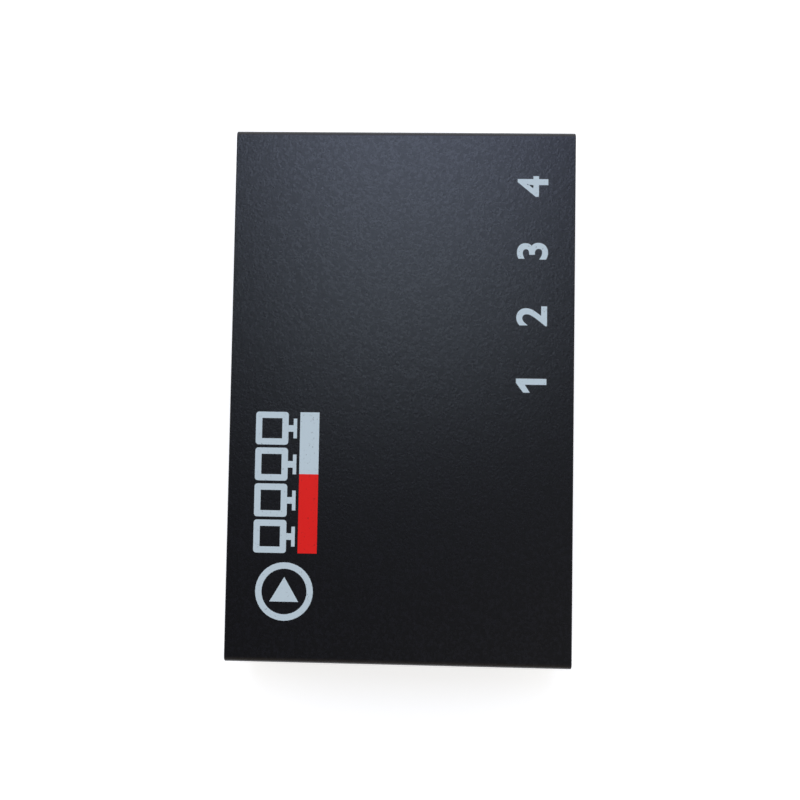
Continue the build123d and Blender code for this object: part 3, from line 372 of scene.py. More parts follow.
def masked_laminate(look):
    """Glass-epoxy board, etched, masked and sawn: tracks show paler through green lacquer, edges are bare."""
    material, tree, shader, place = new_finish(
        "solder_masked_laminate", Coat_Weight=0.4, Coat_Roughness=0.12
    )
    pool, glass = (
        add_node(tree, "ShaderNodeTexNoise", {"Vector": place, "Scale": 1 / (width * MM), "Detail": detail})
        for width, detail in ((14, 0.0), (0.3, 3.0))
    )
    split = add_node(tree, "ShaderNodeSeparateXYZ", {"Vector": place})
    stripes = []
    for axis in ("Y", "X"):
        angle = {"Value": split.outputs[axis], "Value_001": 2 * math.pi / look.track_pitch}
        wave = add_node(tree, "ShaderNodeMath", angle, operation="MULTIPLY")
        stripes.append(add_node(tree, "ShaderNodeMath", {"Value": wave}, operation="SINE"))
    # Blocks about 11 mm wide decide which way the tracks of a region run, and whether it has any
    block = add_node(
        tree, "ShaderNodeTexVoronoi", {"Vector": place, "Scale": 1 / (11 * MM)}, distance="CHEBYCHEV"
    )
    pick = add_node(tree, "ShaderNodeSeparateColor", {"Color": block.outputs["Color"]})
    turn, routed = (
        add_node(
            tree,
            "ShaderNodeMath",
            {"Value": pick.outputs[channel], "Value_001": threshold},
            operation="GREATER_THAN",
        )
        for channel, threshold in (("Red", 0.5), ("Green", 0.45))
    )
    tracks = add_node(
        tree,
        "ShaderNodeMix",
        {"Factor_Float": turn, "A_Float": stripes[0], "B_Float": stripes[1]},
        data_type="FLOAT",
    )
    edge = add_node(tree, "ShaderNodeMapRange", {"Value": tracks, "From Min": 0.1, "From Max": 0.3})
    copper = add_node(tree, "ShaderNodeMath", {"Value": edge, "Value_001": routed}, operation="MAXIMUM")
    lacquer, sawn = (
        add_node(
            tree, "ShaderNodeMix", {"Factor_Float": cover, "A_Color": dark, "B_Color": pale}, data_type="RGBA"
        )
        for cover, dark, pale in (
            (copper, look.mask, look.track),
            (glass, darker(look.laminate, 0.7), look.laminate),
        )
    )
    normal = add_node(tree, "ShaderNodeNewGeometry").outputs["True Normal"]
    facing = add_node(tree, "ShaderNodeSeparateXYZ", {"Vector": normal})
    flat = add_node(tree, "ShaderNodeMath", {"Value": facing.outputs["Z"]}, operation="ABSOLUTE")
    texture(tree, shader, flat, (sawn, lacquer), pool, (0.28, 0.4), [(copper, 0.02 * MM)])
    return material


# Building pieces
def nodes_of(slot):
    """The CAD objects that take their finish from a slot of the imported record."""
    names = [part["node"] for part in frame["record"]["subparts"] if part["material_slot"] == slot]
    if not names:
        raise RuntimeError(f"no part of the packed record uses the finish {slot}")
    return [frame["nodes"][name] for name in names]


def dress(slot, material):
    """Gives every CAD object of a slot its material."""
    for node in nodes_of(slot):
        node.data.materials.clear()
        node.data.materials.append(material)


def add_piece(name, mesh, material, body="case"):
    """Shows a finished mesh as a piece that rides on a body."""
    mesh.name = name
    mesh.materials.clear()
    mesh.materials.append(material)
    piece = bpy.data.objects.new(name, mesh)
    bpy.context.scene.collection.objects.link(piece)
    bpy.context.view_layer.update()
    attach(piece, body)
    return piece


def mesh_of(source):
    """A plain mesh of an object as it looks with its modifiers. The object itself is removed."""
    bpy.context.scene.collection.objects.link(source)
    bpy.context.view_layer.update()
    graph = bpy.context.evaluated_depsgraph_get()
    mesh = bpy.data.meshes.new_from_object(source.evaluated_get(graph))
    bpy.data.objects.remove(source)
    return mesh


# Print
def raised(height):
    """A move up by a height."""
    return Matrix.Translation((0, 0, height))


def circle_points(centre, radius, count=40, start=0.0, end=2 * math.pi):
    """Points along an arc. A full circle doesn't repeat its first point."""
    steps = count if end - start >= 2 * math.pi - 1e-6 else count - 1
    angles = [start + (end - start) * index / steps for index in range(count)]
    return [(centre[0] + radius * math.cos(a), centre[1] + radius * math.sin(a)) for a in angles]


def rounded_box(left, low, width, height, radius, count=6):
    """Outline of a rectangle with round corners."""
    points = []
    for side_x, side_y, quarter in ((1, 1, 0), (-1, 1, 1), (-1, -1, 2), (1, -1, 3)):
        x = left + width / 2 + side_x * (width / 2 - radius)
        y = low + height / 2 + side_y * (height / 2 - radius)
        start = quarter * math.pi / 2
        points += circle_points((x, y), radius, count, start, start + math.pi / 2)
    return points


def bar(left, low, width, height):
    """Outline of a plain rectangle."""
    return [(left, low), (left + width, low), (left + width, low + height), (left, low + height)]


def ring(centre, radius, stroke):
    """Outer and inner outline of a ring."""
    return [circle_points(centre, radius), circle_points(centre, radius - stroke)]


def hollow_box(left, low, width, height, radius, stroke):
    """Outer and inner outline of a frame with round outer corners."""
    outer = rounded_box(left, low, width, height, radius)
    return [outer, bar(left + stroke, low + stroke, width - 2 * stroke, height - 2 * stroke)]


def open_ring(centre, radius, stroke, gap, middle):
    """Outline of a ring with a gap, both angles in radians."""
    start, end = middle + gap / 2, middle - gap / 2 + 2 * math.pi
    outer = circle_points(centre, radius, 32, start, end)
    inner = circle_points(centre, radius - stroke, 32, start, end)
    return outer + inner[::-1]


def outline_mesh(outlines, film):
    """A thin closed film whose edge follows an outline; further outlines are its holes. Millimetres."""
    curve = bpy.data.curves.new("film", "CURVE")
    curve.dimensions = "2D"
    curve.fill_mode = "BOTH"
    curve.extrude = film / 2
    for points in outlines:
        spline = curve.splines.new("POLY")
        spline.points.add(len(points) - 1)
        for point, (x, y) in zip(spline.points, points):
            point.co = (x * MM, y * MM, 0, 1)
        spline.use_cyclic_u = True
    return mesh_of(bpy.data.objects.new("film", curve))


def flagged_one(mesh):
    """Outline in millimetres of a 1 with a flag, made from the bare bar that the font has for it."""
    (left, low, _), (right, top, _) = [corner / MM for corner in corners_of(v.co for v in mesh.vertices)]
    stroke = right - left
    # The flag hangs down to the left. Its corners are given in widths of the stroke
    return [
        (left, low),
        (right, low),
        (right, top),
        (left + 0.3 * stroke, top),
        (left - 1.3 * stroke, top - 1.2 * stroke),
        (left - 1.3 * stroke, top - 2.3 * stroke),
        (left, top - 1.45 * stroke),
    ]


def numeral_mesh(body, size, weight, film, centre):
    """Numerals as a thin closed film, centred on a point given in millimetres."""
    text = bpy.data.curves.new("film", "FONT")
    text.body = body
    text.size = size
    text.offset = weight
    text.extrude = film / 2
    text.align_x = "CENTER"
    text.align_y = "CENTER"
    mesh = mesh_of(bpy.data.objects.new("film", text))
    if body == "1":
        mesh = outline_mesh([flagged_one(mesh)], film)
    mesh.transform(Matrix.Translation((centre[0] * MM, centre[1] * MM, 0)))
    return mesh


def joined(meshes, place, film):
    """One mesh of several, lifted by half a film's thickness and put in its place."""
    result = bmesh.new()
    for mesh in meshes:
        mesh.transform(place @ raised(film / 2))
        result.from_mesh(mesh)
        bpy.data.meshes.remove(mesh)
    bmesh.ops.remove_doubles(result, verts=result.verts, dist=1e-7)
    bmesh.ops.recalc_face_normals(result, faces=result.faces)
    mesh = bpy.data.meshes.new("print")
    result.to_mesh(mesh)
    result.free()
    return mesh


def symbol_outlines(look):
    """The cover's symbol in millimetres: a round source, four screens in a row and a bar below them."""
    wide, high, stroke, band = (
        size / MM for size in (look.symbol_length, look.symbol_height, look.symbol_stroke, look.symbol_bar)
    )
    gap, foot, neck = 0.6, 0.7, 1.0
    radius = high / 2 - gap
    centre = (radius, high / 2)
    arm = radius / 2
    arrow = [
        (centre[0] - 0.7 * arm, centre[1] - arm),
        (centre[0] + arm, centre[1]),
        (centre[0] - 0.7 * arm, centre[1] + arm),
    ]
    shapes = [ring(centre, radius, stroke), [arrow]]
    start = 2 * (radius + gap)
    pitch = (wide - start) / len(OUTPUTS)
    screen = pitch - gap
    screen_low = band + gap + foot + neck
    for index in range(len(OUTPUTS)):
        left = start + index * pitch + gap
        middle = left + screen / 2
        shapes.append(hollow_box(left, screen_low, screen, high - screen_low, gap, stroke))
        half_foot, half_neck, low = 0.3 * screen, 0.1 * screen, screen_low - neck
        right = [(half_foot, low - foot), (half_foot, low), (half_neck, low), (half_neck, screen_low - 0.01)]
        shapes.append([[(middle + x, y) for x, y in right] + [(middle - x, y) for x, y in reversed(right)]])
    # The bar's near part is red, the rest is pale
    join = start + gap + RED_SHARE * (wide - start - gap)
    shapes.append([bar(join, 0, wide - join, band)])
    return shapes, [bar(start + gap, 0, join - start - gap, band)]


def polarity_outlines(centre, stroke):
    """A plain polarity symbol in millimetres: minus on the sleeve, plus on the pin."""
    x, y = centre
    dot, cup, sign, reach = 0.42, 1.15, 1.0, 3.35
    shapes = [
        [circle_points(centre, dot)],
        [open_ring(centre, cup, stroke, 1.4, 0)],
        [bar(x + dot, y - stroke / 2, reach - sign - dot, stroke)],
        [bar(x - reach + sign, y - stroke / 2, reach - sign - cup, stroke)],
    ]
    half = sign / 2
    for side in (-1, 1):
        shapes.append(ring((x + side * reach, y), sign, stroke))
        shapes.append([bar(x + side * reach - half, y - stroke / 2, sign, stroke)])
    for low in (y + stroke / 2, y - half):
        shapes.append([bar(x + reach - stroke / 2, low, stroke, half - stroke / 2)])
    return shapes


def middle_of(node):
    """The middle of a CAD node's box in millimetres."""
    low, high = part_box(node)
    return (low + high) / 2 / MM


def corners_of(points):
    """The lowest and the highest corner of the box round some points."""
    axes = list(zip(*points))
    return Vector([min(axis) for axis in axes]), Vector([max(axis) for axis in axes])


# Solder
def lowest_groups(name, top, bottom, gap):
    """Boxes round a CAD node's points between two heights, grouped where they are nearer than gap."""
    points = [v.co for v in frame["nodes"][name].data.vertices if bottom < v.co.z < top]
    groups = []
    for point in sorted({tuple(round(c, 6) for c in p) for p in points}):
        near = [
            group
            for group in groups
            if any(abs(point[0] - other[0]) < gap and abs(point[1] - other[1]) < gap for other in group)
        ]
        merged = [point]
        for group in near:
            merged += group
            groups.remove(group)
        groups.append(merged)
    return [corners_of(group) for group in groups]


def solids_of(name):
    """Lowest and highest corner of each separate solid of a CAD node."""
    shape = bmesh.new()
    shape.from_mesh(frame["nodes"][name].data)
    bmesh.ops.remove_doubles(shape, verts=shape.verts, dist=1e-7)
    boxes, seen = [], set()
    for first in shape.verts:
        if first.index in seen:
            continue
        seen.add(first.index)
        group = [first]
        for vert in group:
            for edge in vert.link_edges:
                other = edge.other_vert(vert)
                if other.index not in seen:
                    seen.add(other.index)
                    group.append(other)
        boxes.append(corners_of(vert.co for vert in group))
    shape.free()
    return boxes


def scatter(name, spots, tree, values):
    """A mesh that a node tree makes on spots, each a point, a size and a turn."""
    mesh = bpy.data.meshes.new(name)
    mesh.from_pydata([tuple(point) for point, size, turn in spots], [], [])
    for label, column in (("size", 1), ("turn", 2)):
        attribute = mesh.attributes.new(label, "FLOAT_VECTOR", "POINT")
        attribute.data.foreach_set("vector", [number for spot in spots for number in spot[column]])
    source = bpy.data.objects.new(name, mesh)
    modifier = source.modifiers.new("made", "NODES")
    modifier.node_group = tree
    for item in tree.interface.items_tree:
        if item.item_type == "SOCKET" and item.in_out == "INPUT" and item.name in values:
            modifier[item.identifier] = values[item.name]
    return mesh_of(source)


def start_tree(name, inputs):
    """A geometry tree with one mesh input, one mesh output and named number inputs."""
    tree = bpy.data.node_groups.new(name, "GeometryNodeTree")
    tree.interface.new_socket("Points", in_out="INPUT", socket_type="NodeSocketGeometry")
    for label, value in inputs.items():
        socket = tree.interface.new_socket(label, in_out="INPUT", socket_type="NodeSocketFloat")
        socket.default_value = value
    tree.interface.new_socket("Mesh", in_out="OUTPUT", socket_type="NodeSocketGeometry")
    return tree, add_node(tree, "NodeGroupInput")


def end_tree(tree, entry, shape, material):
    """Puts a shape on every point, turned and sized as the point says, and makes it one mesh."""
    size, turn = (
        add_node(tree, "GeometryNodeInputNamedAttribute", {"Name": label}, data_type="FLOAT_VECTOR")
        for label in ("size", "turn")
    )
    spread = add_node(
        tree,
        "GeometryNodeInstanceOnPoints",
        {"Points": entry.outputs["Points"], "Instance": shape, "Rotation": turn, "Scale": size},
    )
    real = add_node(tree, "GeometryNodeRealizeInstances", {"Geometry": spread})
    dressed = add_node(tree, "GeometryNodeSetMaterial", {"Geometry": real, "Material": material})
    add_node(tree, "NodeGroupOutput", {"Mesh": dressed})
    return tree


def slab(tree, outline, crown=None):
    """A closed block one unit high on an outline. Where crown is given, its top is scaled by it."""
    foot = add_node(tree, "GeometryNodeFillCurve", {"Curve": outline}, mode="NGONS")
    upper = add_node(tree, "GeometryNodeExtrudeMesh", {"Mesh": foot, "Offset Scale": 1.0}, mode="FACES")
    if crown:
        top = {"Geometry": upper, "Selection": upper.outputs["Top"], "Scale": crown}
        upper = add_node(tree, "GeometryNodeScaleElements", top, domain="FACE")
    under = add_node(tree, "GeometryNodeFlipFaces", {"Mesh": foot})
    whole = add_node(tree, "GeometryNodeJoinGeometry", {"Geometry": upper})
    tree.links.new(first_output(under), whole.inputs["Geometry"])
    return add_node(tree, "GeometryNodeMergeByDistance", {"Geometry": whole, "Distance": 1e-6})


def block_tree(material):
    """A low block with round corners and a smaller top, one unit each way before it is sized."""
    tree, entry = start_tree("soft_blocks", {"Corner": 0.18, "Crown": 0.82})
    outline = add_node(tree, "GeometryNodeCurvePrimitiveQuadrilateral", {"Width": 1.0, "Height": 1.0})
    corners = {"Curve": outline, "Radius": entry.outputs["Corner"], "Count": 2}
    soft = add_node(tree, "GeometryNodeFilletCurve", corners, mode="POLY")
    return end_tree(tree, entry, slab(tree, soft, entry.outputs["Crown"]), material)


def joint_tree(material):
    """Solder that climbs a leg: a cone with a hollow flank, one unit across its foot before it is sized."""
    tree, entry = start_tree("solder_joints", {"Neck": 0.3})
    steps = {"Vertices": 20, "Side Segments": 5, "Fill Segments": 1}
    sizes = {"Radius Top": 0.5, "Radius Bottom": 0.5, "Depth": 1.0}
    cone = add_node(tree, "GeometryNodeMeshCone", {**steps, **sizes}, fill_type="NGON")
    place = add_node(tree, "ShaderNodeSeparateXYZ", {"Vector": add_node(tree, "GeometryNodeInputPosition")})
    height = place.outputs["Z"]
    rest = add_node(tree, "ShaderNodeMath", {"Value": 1.0, "Value_001": height}, operation="SUBTRACT")
    hollow = add_node(tree, "ShaderNodeMath", {"Value": rest, "Value_001": 2.4}, operation="POWER")
    width = add_node(tree, "ShaderNodeMapRange", {"Value": hollow, "To Min": entry.outputs["Neck"]})
    moved = add_node(tree, "ShaderNodeCombineXYZ", {"Z": height})
    for axis in ("X", "Y"):
        inputs = {"Value": place.outputs[axis], "Value_001": width}
        drawn_in = add_node(tree, "ShaderNodeMath", inputs, operation="MULTIPLY")
        tree.links.new(first_output(drawn_in), moved.inputs[axis])
    flank = {"Geometry": cone.outputs["Mesh"], "Position": moved}
    fillet = add_node(tree, "GeometryNodeSetPosition", flank)
    smooth = add_node(tree, "GeometryNodeSetShadeSmooth", {"Geometry": fillet, "Shade Smooth": True})
    return end_tree(tree, entry, smooth, material)


def ring_tree(material):
    """A plated ring round a drilled hole, one unit wide before it is sized."""
    tree, entry = start_tree("board_vias", {"Bore": 0.3})
    outer, inner = (
        add_node(tree, "GeometryNodeCurvePrimitiveCircle", {"Resolution": 20, "Radius": radius})
        for radius in (0.5, entry.outputs["Bore"])
    )
    both = add_node(tree, "GeometryNodeJoinGeometry", {"Geometry": outer})
    tree.links.new(first_output(inner), both.inputs["Geometry"])
    return end_tree(tree, entry, slab(tree, both), material)


# Operators
class SPLITTER_OT_finish_case(bpy.types.Operator):
    """Powder-coats the cover and the tray"""

    bl_idname = "splitter.finish_case"
    bl_label = "Coat the case"

    def execute(self, context):
        dress("case_paint", powder_coated_steel(context.scene.splitter_coat))
        return {"FINISHED"}


class SPLITTER_OT_finish_hardware(bpy.types.Operator):
    """Finishes feet, screws and standoffs"""

    bl_idname = "splitter.finish_hardware"
    bl_label = "Finish feet and screws"

    def execute(self, context):
        metals, plastics = context.scene.splitter_metals, context.scene.splitter_plastics
        # Nitrile rubber, moulded: dead matt, with a faint grain from the mould
        dress("foot_rubber", moulded("moulded_rubber", plastics.rubber, 0.25, 0.78, 0.01, 0.3))
        # Steel with black oxide, oiled: dark metal with a soft shine
        dress("black_screw", plated("black_oxide_steel", metals.screw, 0.36, 0.3))
        # Steel with clear zinc plating: bright, slightly blue, with fine turning marks round the axis
        dress("zinc_steel", plated("zinc_plated_steel", metals.zinc, 0.3, 0.25, (1.0, 1.0, 6.0)))
        return {"FINISHED"}


class SPLITTER_OT_finish_sockets(bpy.types.Operator):
    """Finishes the five video sockets"""

    bl_idname = "splitter.finish_sockets"
    bl_label = "Finish the video sockets"

    def execute(self, context):
        metals, plastics = context.scene.splitter_metals, context.scene.splitter_plastics
        # Drawn steel with bright nickel: a warm grey mirror with rolling marks along the socket
        dress("socket_steel", plated("nickel_plated_steel", metals.nickel, 0.24, 0.35, (1.0, 0.12, 1.0)))
        # Liquid-crystal polymer with glass, moulded: matt and almost black
        dress("socket_plastic", moulded("glass_filled_polymer", plastics.insulator, 0.2, 0.5, 0.006))
        # Phosphor bronze with thin gold: warm, soft mirror
        dress("gold_contact", plated("gold_plated_bronze", metals.gold, 0.2, 0.3, (1.0, 0.2, 1.0)))
        return {"FINISHED"}


class SPLITTER_OT_finish_power(bpy.types.Operator):
    """Finishes the power jack and the slide switch"""

    bl_idname = "splitter.finish_power"
    bl_label = "Finish jack and switch"

    def execute(self, context):
        metals, plastics = context.scene.splitter_metals, context.scene.splitter_plastics
        # Glass-filled polyester, moulded: satin black
        dress("jack_plastic", moulded("moulded_polyester", plastics.jack, 0.3, 0.42, 0.006))
        # Brass with nickel: bright pin with turning marks round its axis
        dress("jack_metal", plated("nickel_plated_brass", metals.silver, 0.2, 0.2, (1.0, 8.0, 1.0)))
        # Folded steel with bright tin: pale, with rolling marks along the frame
        dress("switch_steel", plated("tinned_steel", metals.tin, 0.3, 0.3, (0.15, 1.0, 1.0)))
        # Acetal, moulded: smooth and slightly waxy
        dress("switch_plastic", moulded("moulded_acetal", plastics.knob, 0.35, 0.34, 0.004))
        # Copper with silver: pale and soft
        dress("switch_metal", plated("silver_plated_copper", metals.silver, 0.26, 0.25))
        return {"FINISHED"}


class SPLITTER_OT_finish_lamps(bpy.types.Operator):
    """Finishes the five lamps and the tinned leads"""

    bl_idname = "splitter.finish_lamps"
    bl_label = "Finish the lamps"

    def execute(self, context):
        metals, plastics = context.scene.splitter_metals, context.scene.splitter_plastics
        # Cast epoxy with red or green dye: glassy dome, colour seen in its depth
        dress("power_lens", tinted_epoxy("red_epoxy", plastics.red_lens))
        dress("status_lens", tinted_epoxy("green_epoxy", plastics.green_lens))
        # Steel or copper with matt tin: grey, soft shine
        dress("tinned_lead", plated("matt_tin", metals.tin, 0.36, 0.2))
        return {"FINISHED"}


class SPLITTER_OT_finish_board(bpy.types.Operator):
    """Finishes the circuit board and the parts on it"""

    bl_idname = "splitter.finish_board"
    bl_label = "Finish the board"

    def execute(self, context):
        scene = context.scene
        metals, plastics = scene.splitter_metals, scene.splitter_plastics
        dress("board_laminate", masked_laminate(scene.splitter_board))
        # Epoxy moulding compound: charcoal with a fine even grain
        dress("chip_resin", moulded("chip_resin", plastics.chip, 0.12, 0.58, 0.006))
        # Silicone pad with ceramic filler: pale, rubbery and matt
        dress("thermal_pad", moulded("filled_silicone", plastics.thermal_pad, 0.3, 0.75, 0.01, 0.3))
        # Extruded aluminium, anodised black: a dark metal sheen with die lines along the fins
        fins = plated("black_anodised_aluminium", metals.anodised, 0.38, 0.3, (1.0, 0.06, 1.0), 0.004)
        dress("sink_aluminium", fins)
        # Pressed iron powder: dark, stony grain
        dress("ferrite", moulded("pressed_ferrite", plastics.ferrite, 0.18, 0.66, 0.012, 0.35))
        # Deep-drawn aluminium under a clear film
        dress("capacitor_can", plated("drawn_aluminium", metals.aluminium, 0.26, 0.25, (1.0, 1.0, 0.2)))
        # Polyphenylene sulphide, moulded
        dress("capacitor_plastic", moulded("moulded_sulphide", plastics.jack, 0.25, 0.5, 0.006))
        # Cold-rolled steel with nickel
        dress("crystal_steel", plated("rolled_nickel_steel", metals.nickel, 0.22, 0.35, (0.1, 1.0, 1.0)))
        # Glassed resistive film on alumina: glossy black
        dress("resistor_body", moulded("glassed_resistor", plastics.resistor, 0.2, 0.28, 0.003))
        # Fired barium titanate: smooth tan ceramic
        dress("ceramic_body", moulded("fired_ceramic", plastics.ceramic, 0.2, 0.4, 0.003))
        return {"FINISHED"}


class SPLITTER_OT_print_cover(bpy.types.Operator):
    """Prints the symbol and the lamp numbers on the cover"""

    bl_idname = "splitter.print_cover"
    bl_label = "Print the cover"

    def execute(self, context):
        look = context.scene.splitter_print
        low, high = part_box("top_cover")
        pale, red = screen_ink("pale_screen_ink", look.ink), screen_ink("red_screen_ink", look.red_ink)
        corner = Matrix.Translation((low.x + look.symbol_inset, look.symbol_rise, high.z))
        shapes, bar_shape = symbol_outlines(look)
        symbol = joined([outline_mesh(shape, look.film) for shape in shapes], corner, look.film)
        add_piece("cover_symbol", symbol, pale)
        red_bar = joined([outline_mesh(bar_shape, look.film)], corner, look.film)
        add_piece("cover_symbol_bar", red_bar, red)
        numerals = [
            numeral_mesh(
                str(number), look.numeral, look.weight, look.film, (middle_of(lamp).x, -look.numeral_row / MM)
            )
            for number, lamp in enumerate(STATUS_LAMPS, start=1)
        ]
        row = joined(numerals, raised(high.z), look.film)
        add_piece("cover_numerals", row, pale)
        return {"FINISHED"}


class SPLITTER_OT_print_panels(bpy.types.Operator):
    """Prints numbers and plain symbols on the two panels"""

    bl_idname = "splitter.print_panels"
    bl_label = "Print the panels"

    def execute(self, context):
        look = context.scene.splitter_print
        pale = bpy.data.materials["pale_screen_ink"]
        film, stroke = look.film, look.panel_stroke / MM
        low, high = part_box("base_tray")
        socket = middle_of("input_socket_shell")
        line = socket.z + look.panel_line / MM
        power_x, switch_x = middle_of("power_lamp_lens").x, middle_of("switch_frame").x
        jack = middle_of("jack_housing")
        radius, mark, switch_reach = 1.15, 0.95, 1.9
        shaft = line + 0.7 * mark
        shapes = [
            # Ring and stroke over the power lamp, ring for off and stroke for on over the switch
            [open_ring((power_x, line), radius, stroke, 1.1, math.pi / 2)],
            [bar(power_x - stroke / 2, line, stroke, radius + stroke / 2)],
            ring((switch_x - switch_reach, line), mark, stroke),
            [bar(switch_x + switch_reach - stroke / 2, line - mark, stroke, 2 * mark)],
            # An arrow into the input socket
            [[(socket.x - radius, shaft), (socket.x, line - mark), (socket.x + radius, shaft)]],
        ]
        shapes += polarity_outlines((jack.x, jack.z - look.polarity_drop / MM), 0.8 * stroke)
        front = [outline_mesh(shape, film) for shape in shapes]
        rear = []
        shells = [f"{name}_shell" for name in OUTPUTS]
        for rows, names, side in ((front, STATUS_LAMPS, 1), (rear, shells, -1)):
            for number, name in enumerate(names, start=1):
                centre = (side * middle_of(name).x, line)
                rows.append(numeral_mesh(str(number), look.panel_numeral, look.panel_weight, film, centre))
        upright = Matrix.Rotation(math.pi / 2, 4, "X")
        forward = Matrix.Translation((0, low.y, 0)) @ upright
        add_piece("front_panel_print", joined(front, forward, film), pale)
        backward = Matrix.Translation((0, high.y, 0)) @ Matrix.Rotation(math.pi, 4, "Z") @ upright
        add_piece("rear_panel_print", joined(rear, backward, film), pale)
        return {"FINISHED"}


class SPLITTER_OT_solder_board(bpy.types.Operator):
    """Solders the legs, the flat leads and the small chips to the board"""

    bl_idname = "splitter.solder_board"
    bl_label = "Solder the board"

    def execute(self, context):
        scene = context.scene
        look = scene.splitter_board
        # Tin-silver-copper solder, reflowed: bright and slightly uneven
        solder = plated("reflowed_solder", scene.splitter_metals.tin, 0.22, 0.5, height=0.004)
        tin = bpy.data.materials["matt_tin"]
        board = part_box("circuit_board")
        ends, feet = self.chip_ends(look, board)
        pieces = (
            ("solder_joints", self.legs(look, board), joint_tree(solder), solder, {}),
            ("solder_pads", self.leads(look, board) + feet, block_tree(solder), solder, {}),
            ("chip_end_caps", ends, block_tree(tin), tin, {"Corner": 0.1, "Crown": 0.94}),
            ("board_vias", self.holes(look, board), ring_tree(solder), solder, {}),
        )
        for name, spots, tree, material, values in pieces:
            add_piece(name, scatter(name, spots, tree, values), material)
        return {"FINISHED"}

    def legs(self, look, board):
        """Spots under the board, one for each leg that comes through it."""
        under, spread = board[0].z, 2 * look.joint_margin
        top, bottom, gap = under - 0.3 * MM, under - 5 * MM, 0.9 * MM
        spots = []
        for name in (*[f"{socket}_shell" for socket in SOCKETS], *LEGGED_PARTS):
            for low, high in lowest_groups(name, top, bottom, gap):
                middle, size = (low + high) / 2, high - low
                foot = (size.x + spread, size.y + spread, look.joint_height)
                spots.append(((middle.x, middle.y, under), foot, HANGING))
        return spots

    def leads(self, look, board):
        """Spots on the board, one for each flat lead."""
        top, reach, gap = board[1].z, 0.05 * MM, 0.25 * MM
        spots = []
        for name in (*[f"{socket}_contacts" for socket in SOCKETS], *FLAT_LEADS):
            for low, high in lowest_groups(name, top + reach, top - reach, gap):
                middle, size = (low + high) / 2, high - low
                foot = (size.x + look.pad_margin, size.y + 2 * look.pad_margin, look.pad_height)
                spots.append(((middle.x, middle.y, top), foot, UPRIGHT))
        return spots

    def chip_ends(self, look, board):
        """Spots of the metal ends of the chip resistors and capacitors, and of the solder at them."""
        ends, feet = [], []
        for low, high in solids_of("chip_resistors") + solids_of("chip_capacitors"):
            middle, size = (low + high) / 2, high - low
            along = 0 if size.x > size.y else 1
            cap = size + look.cap_wall * Vector((2, 2, 1))
            cap[along] = look.cap_length
            pad = Vector((cap.x, cap.y, 2 * look.pad_height))
            pad[along] += look.fillet_reach
            for side in (-1, 1):
                spot = Vector((middle.x, middle.y, board[1].z))
                spot[along] += side * (size[along] / 2 + look.cap_wall - look.cap_length / 2)
                ends.append((spot.copy(), cap, UPRIGHT))
                spot[along] += side * look.fillet_reach / 2
                feet.append((spot, pad, UPRIGHT))
        return ends, feet

    def holes(self, look, board):
        """Spots of the rings along the two ends of the board."""
        low, high = board
        start = low.y + look.via_inset
        count = int((high.y - look.via_inset - start) / look.via_pitch) + 1
        size = (look.via_width, look.via_width, look.via_height)
        return [
            ((x, start + index * look.via_pitch, high.z), size, UPRIGHT)
            for x in (low.x + look.via_inset, high.x - look.via_inset)
            for index in range(count)
        ]


class SPLITTER_OT_print_board(bpy.types.Operator):
    """Prints the board's legend and the marks on its parts"""

    bl_idname = "splitter.print_board"
    bl_label = "Print the board"

    def execute(self, context):
        look = context.scene.splitter_print
        pale = screen_ink("white_legend_ink", look.legend)
        dark = screen_ink("black_marking_ink", look.marking)
        add_piece("board_legend", self.legend(look), pale)
        add_piece("part_markings", self.dark_marks(look), dark)
        add_piece("dark_part_markings", self.pale_marks(look), pale)
        return {"FINISHED"}

    def legend(self, look):
        """A frame round each larger part, and each output's number beside its chip."""
        stroke, margin = look.legend_stroke / MM, look.legend_margin / MM
        grow = Vector((margin, margin, 0))
        shapes = []
        for low, high in [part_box(name) for name in FRAMED_PARTS] + solids_of("capacitor_bases"):
            corner, size = low / MM - grow, (high - low) / MM + 2 * grow
            border = hollow_box(corner.x, corner.y, size.x, size.y, stroke, stroke)
            shapes.append(outline_mesh(border, look.film))
        chips = sorted(solids_of("buffer_chips"), key=lambda box: -box[0].x)
        for number, (low, high) in enumerate(chips, start=1):
            beside = (high.x / MM + 3 * margin, (low.y + high.y) / 2 / MM)
            shapes.append(numeral_mesh(str(number), look.board_numeral, look.panel_weight, look.film, beside))
        return joined(shapes, raised(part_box("circuit_board")[1].z), look.film)

    def on_top(self, box, body, look, shift=0.0, scale=1.0):
        """Numerals printed on the top of a part, shifted along X by millimetres."""
        middle = (box[0] + box[1]) / 2 / MM
        size = scale * look.board_numeral
        value = numeral_mesh(body, size, look.panel_weight, look.film, (middle.x + shift, middle.y))
        return joined([value], raised(box[1].z), look.film)

    def dark_marks(self, look):
        """A segment on the negative side of each can, the cans' values and the crystal's frequency."""
        marks = [self.on_top(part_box("crystal_can"), "27.000", look)]
        for low, high in solids_of("capacitor_cans"):
            middle, radius = (low + high) / 2 / MM, (high.x - low.x) / 2 / MM
            inner = radius - 2 / 3 * look.legend_margin / MM
            segment = circle_points((middle.x, middle.y), inner, 24, math.pi - 0.9, math.pi + 0.9)
            marks.append(joined([outline_mesh([segment], look.film)], raised(high.z), look.film))
            marks.append(self.on_top((low, high), "220", look, shift=0.5))
        return joined(marks, Matrix(), 0)

    def pale_marks(self, look):
        """The band at the diode's cathode and the inductor's value."""
        low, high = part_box("protection_diode")
        width = look.legend_margin / MM
        inset = 2 / 3 * width
        depth = (high.y - low.y) / MM - 2 * inset
        band = outline_mesh([bar(low.x / MM + inset, low.y / MM + inset, width, depth)], look.film)
        marks = [joined([band], raised(high.z), look.film)]
        marks.append(self.on_top(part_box("power_inductor"), "470", look, scale=1.3))
        return joined(marks, Matrix(), 0)


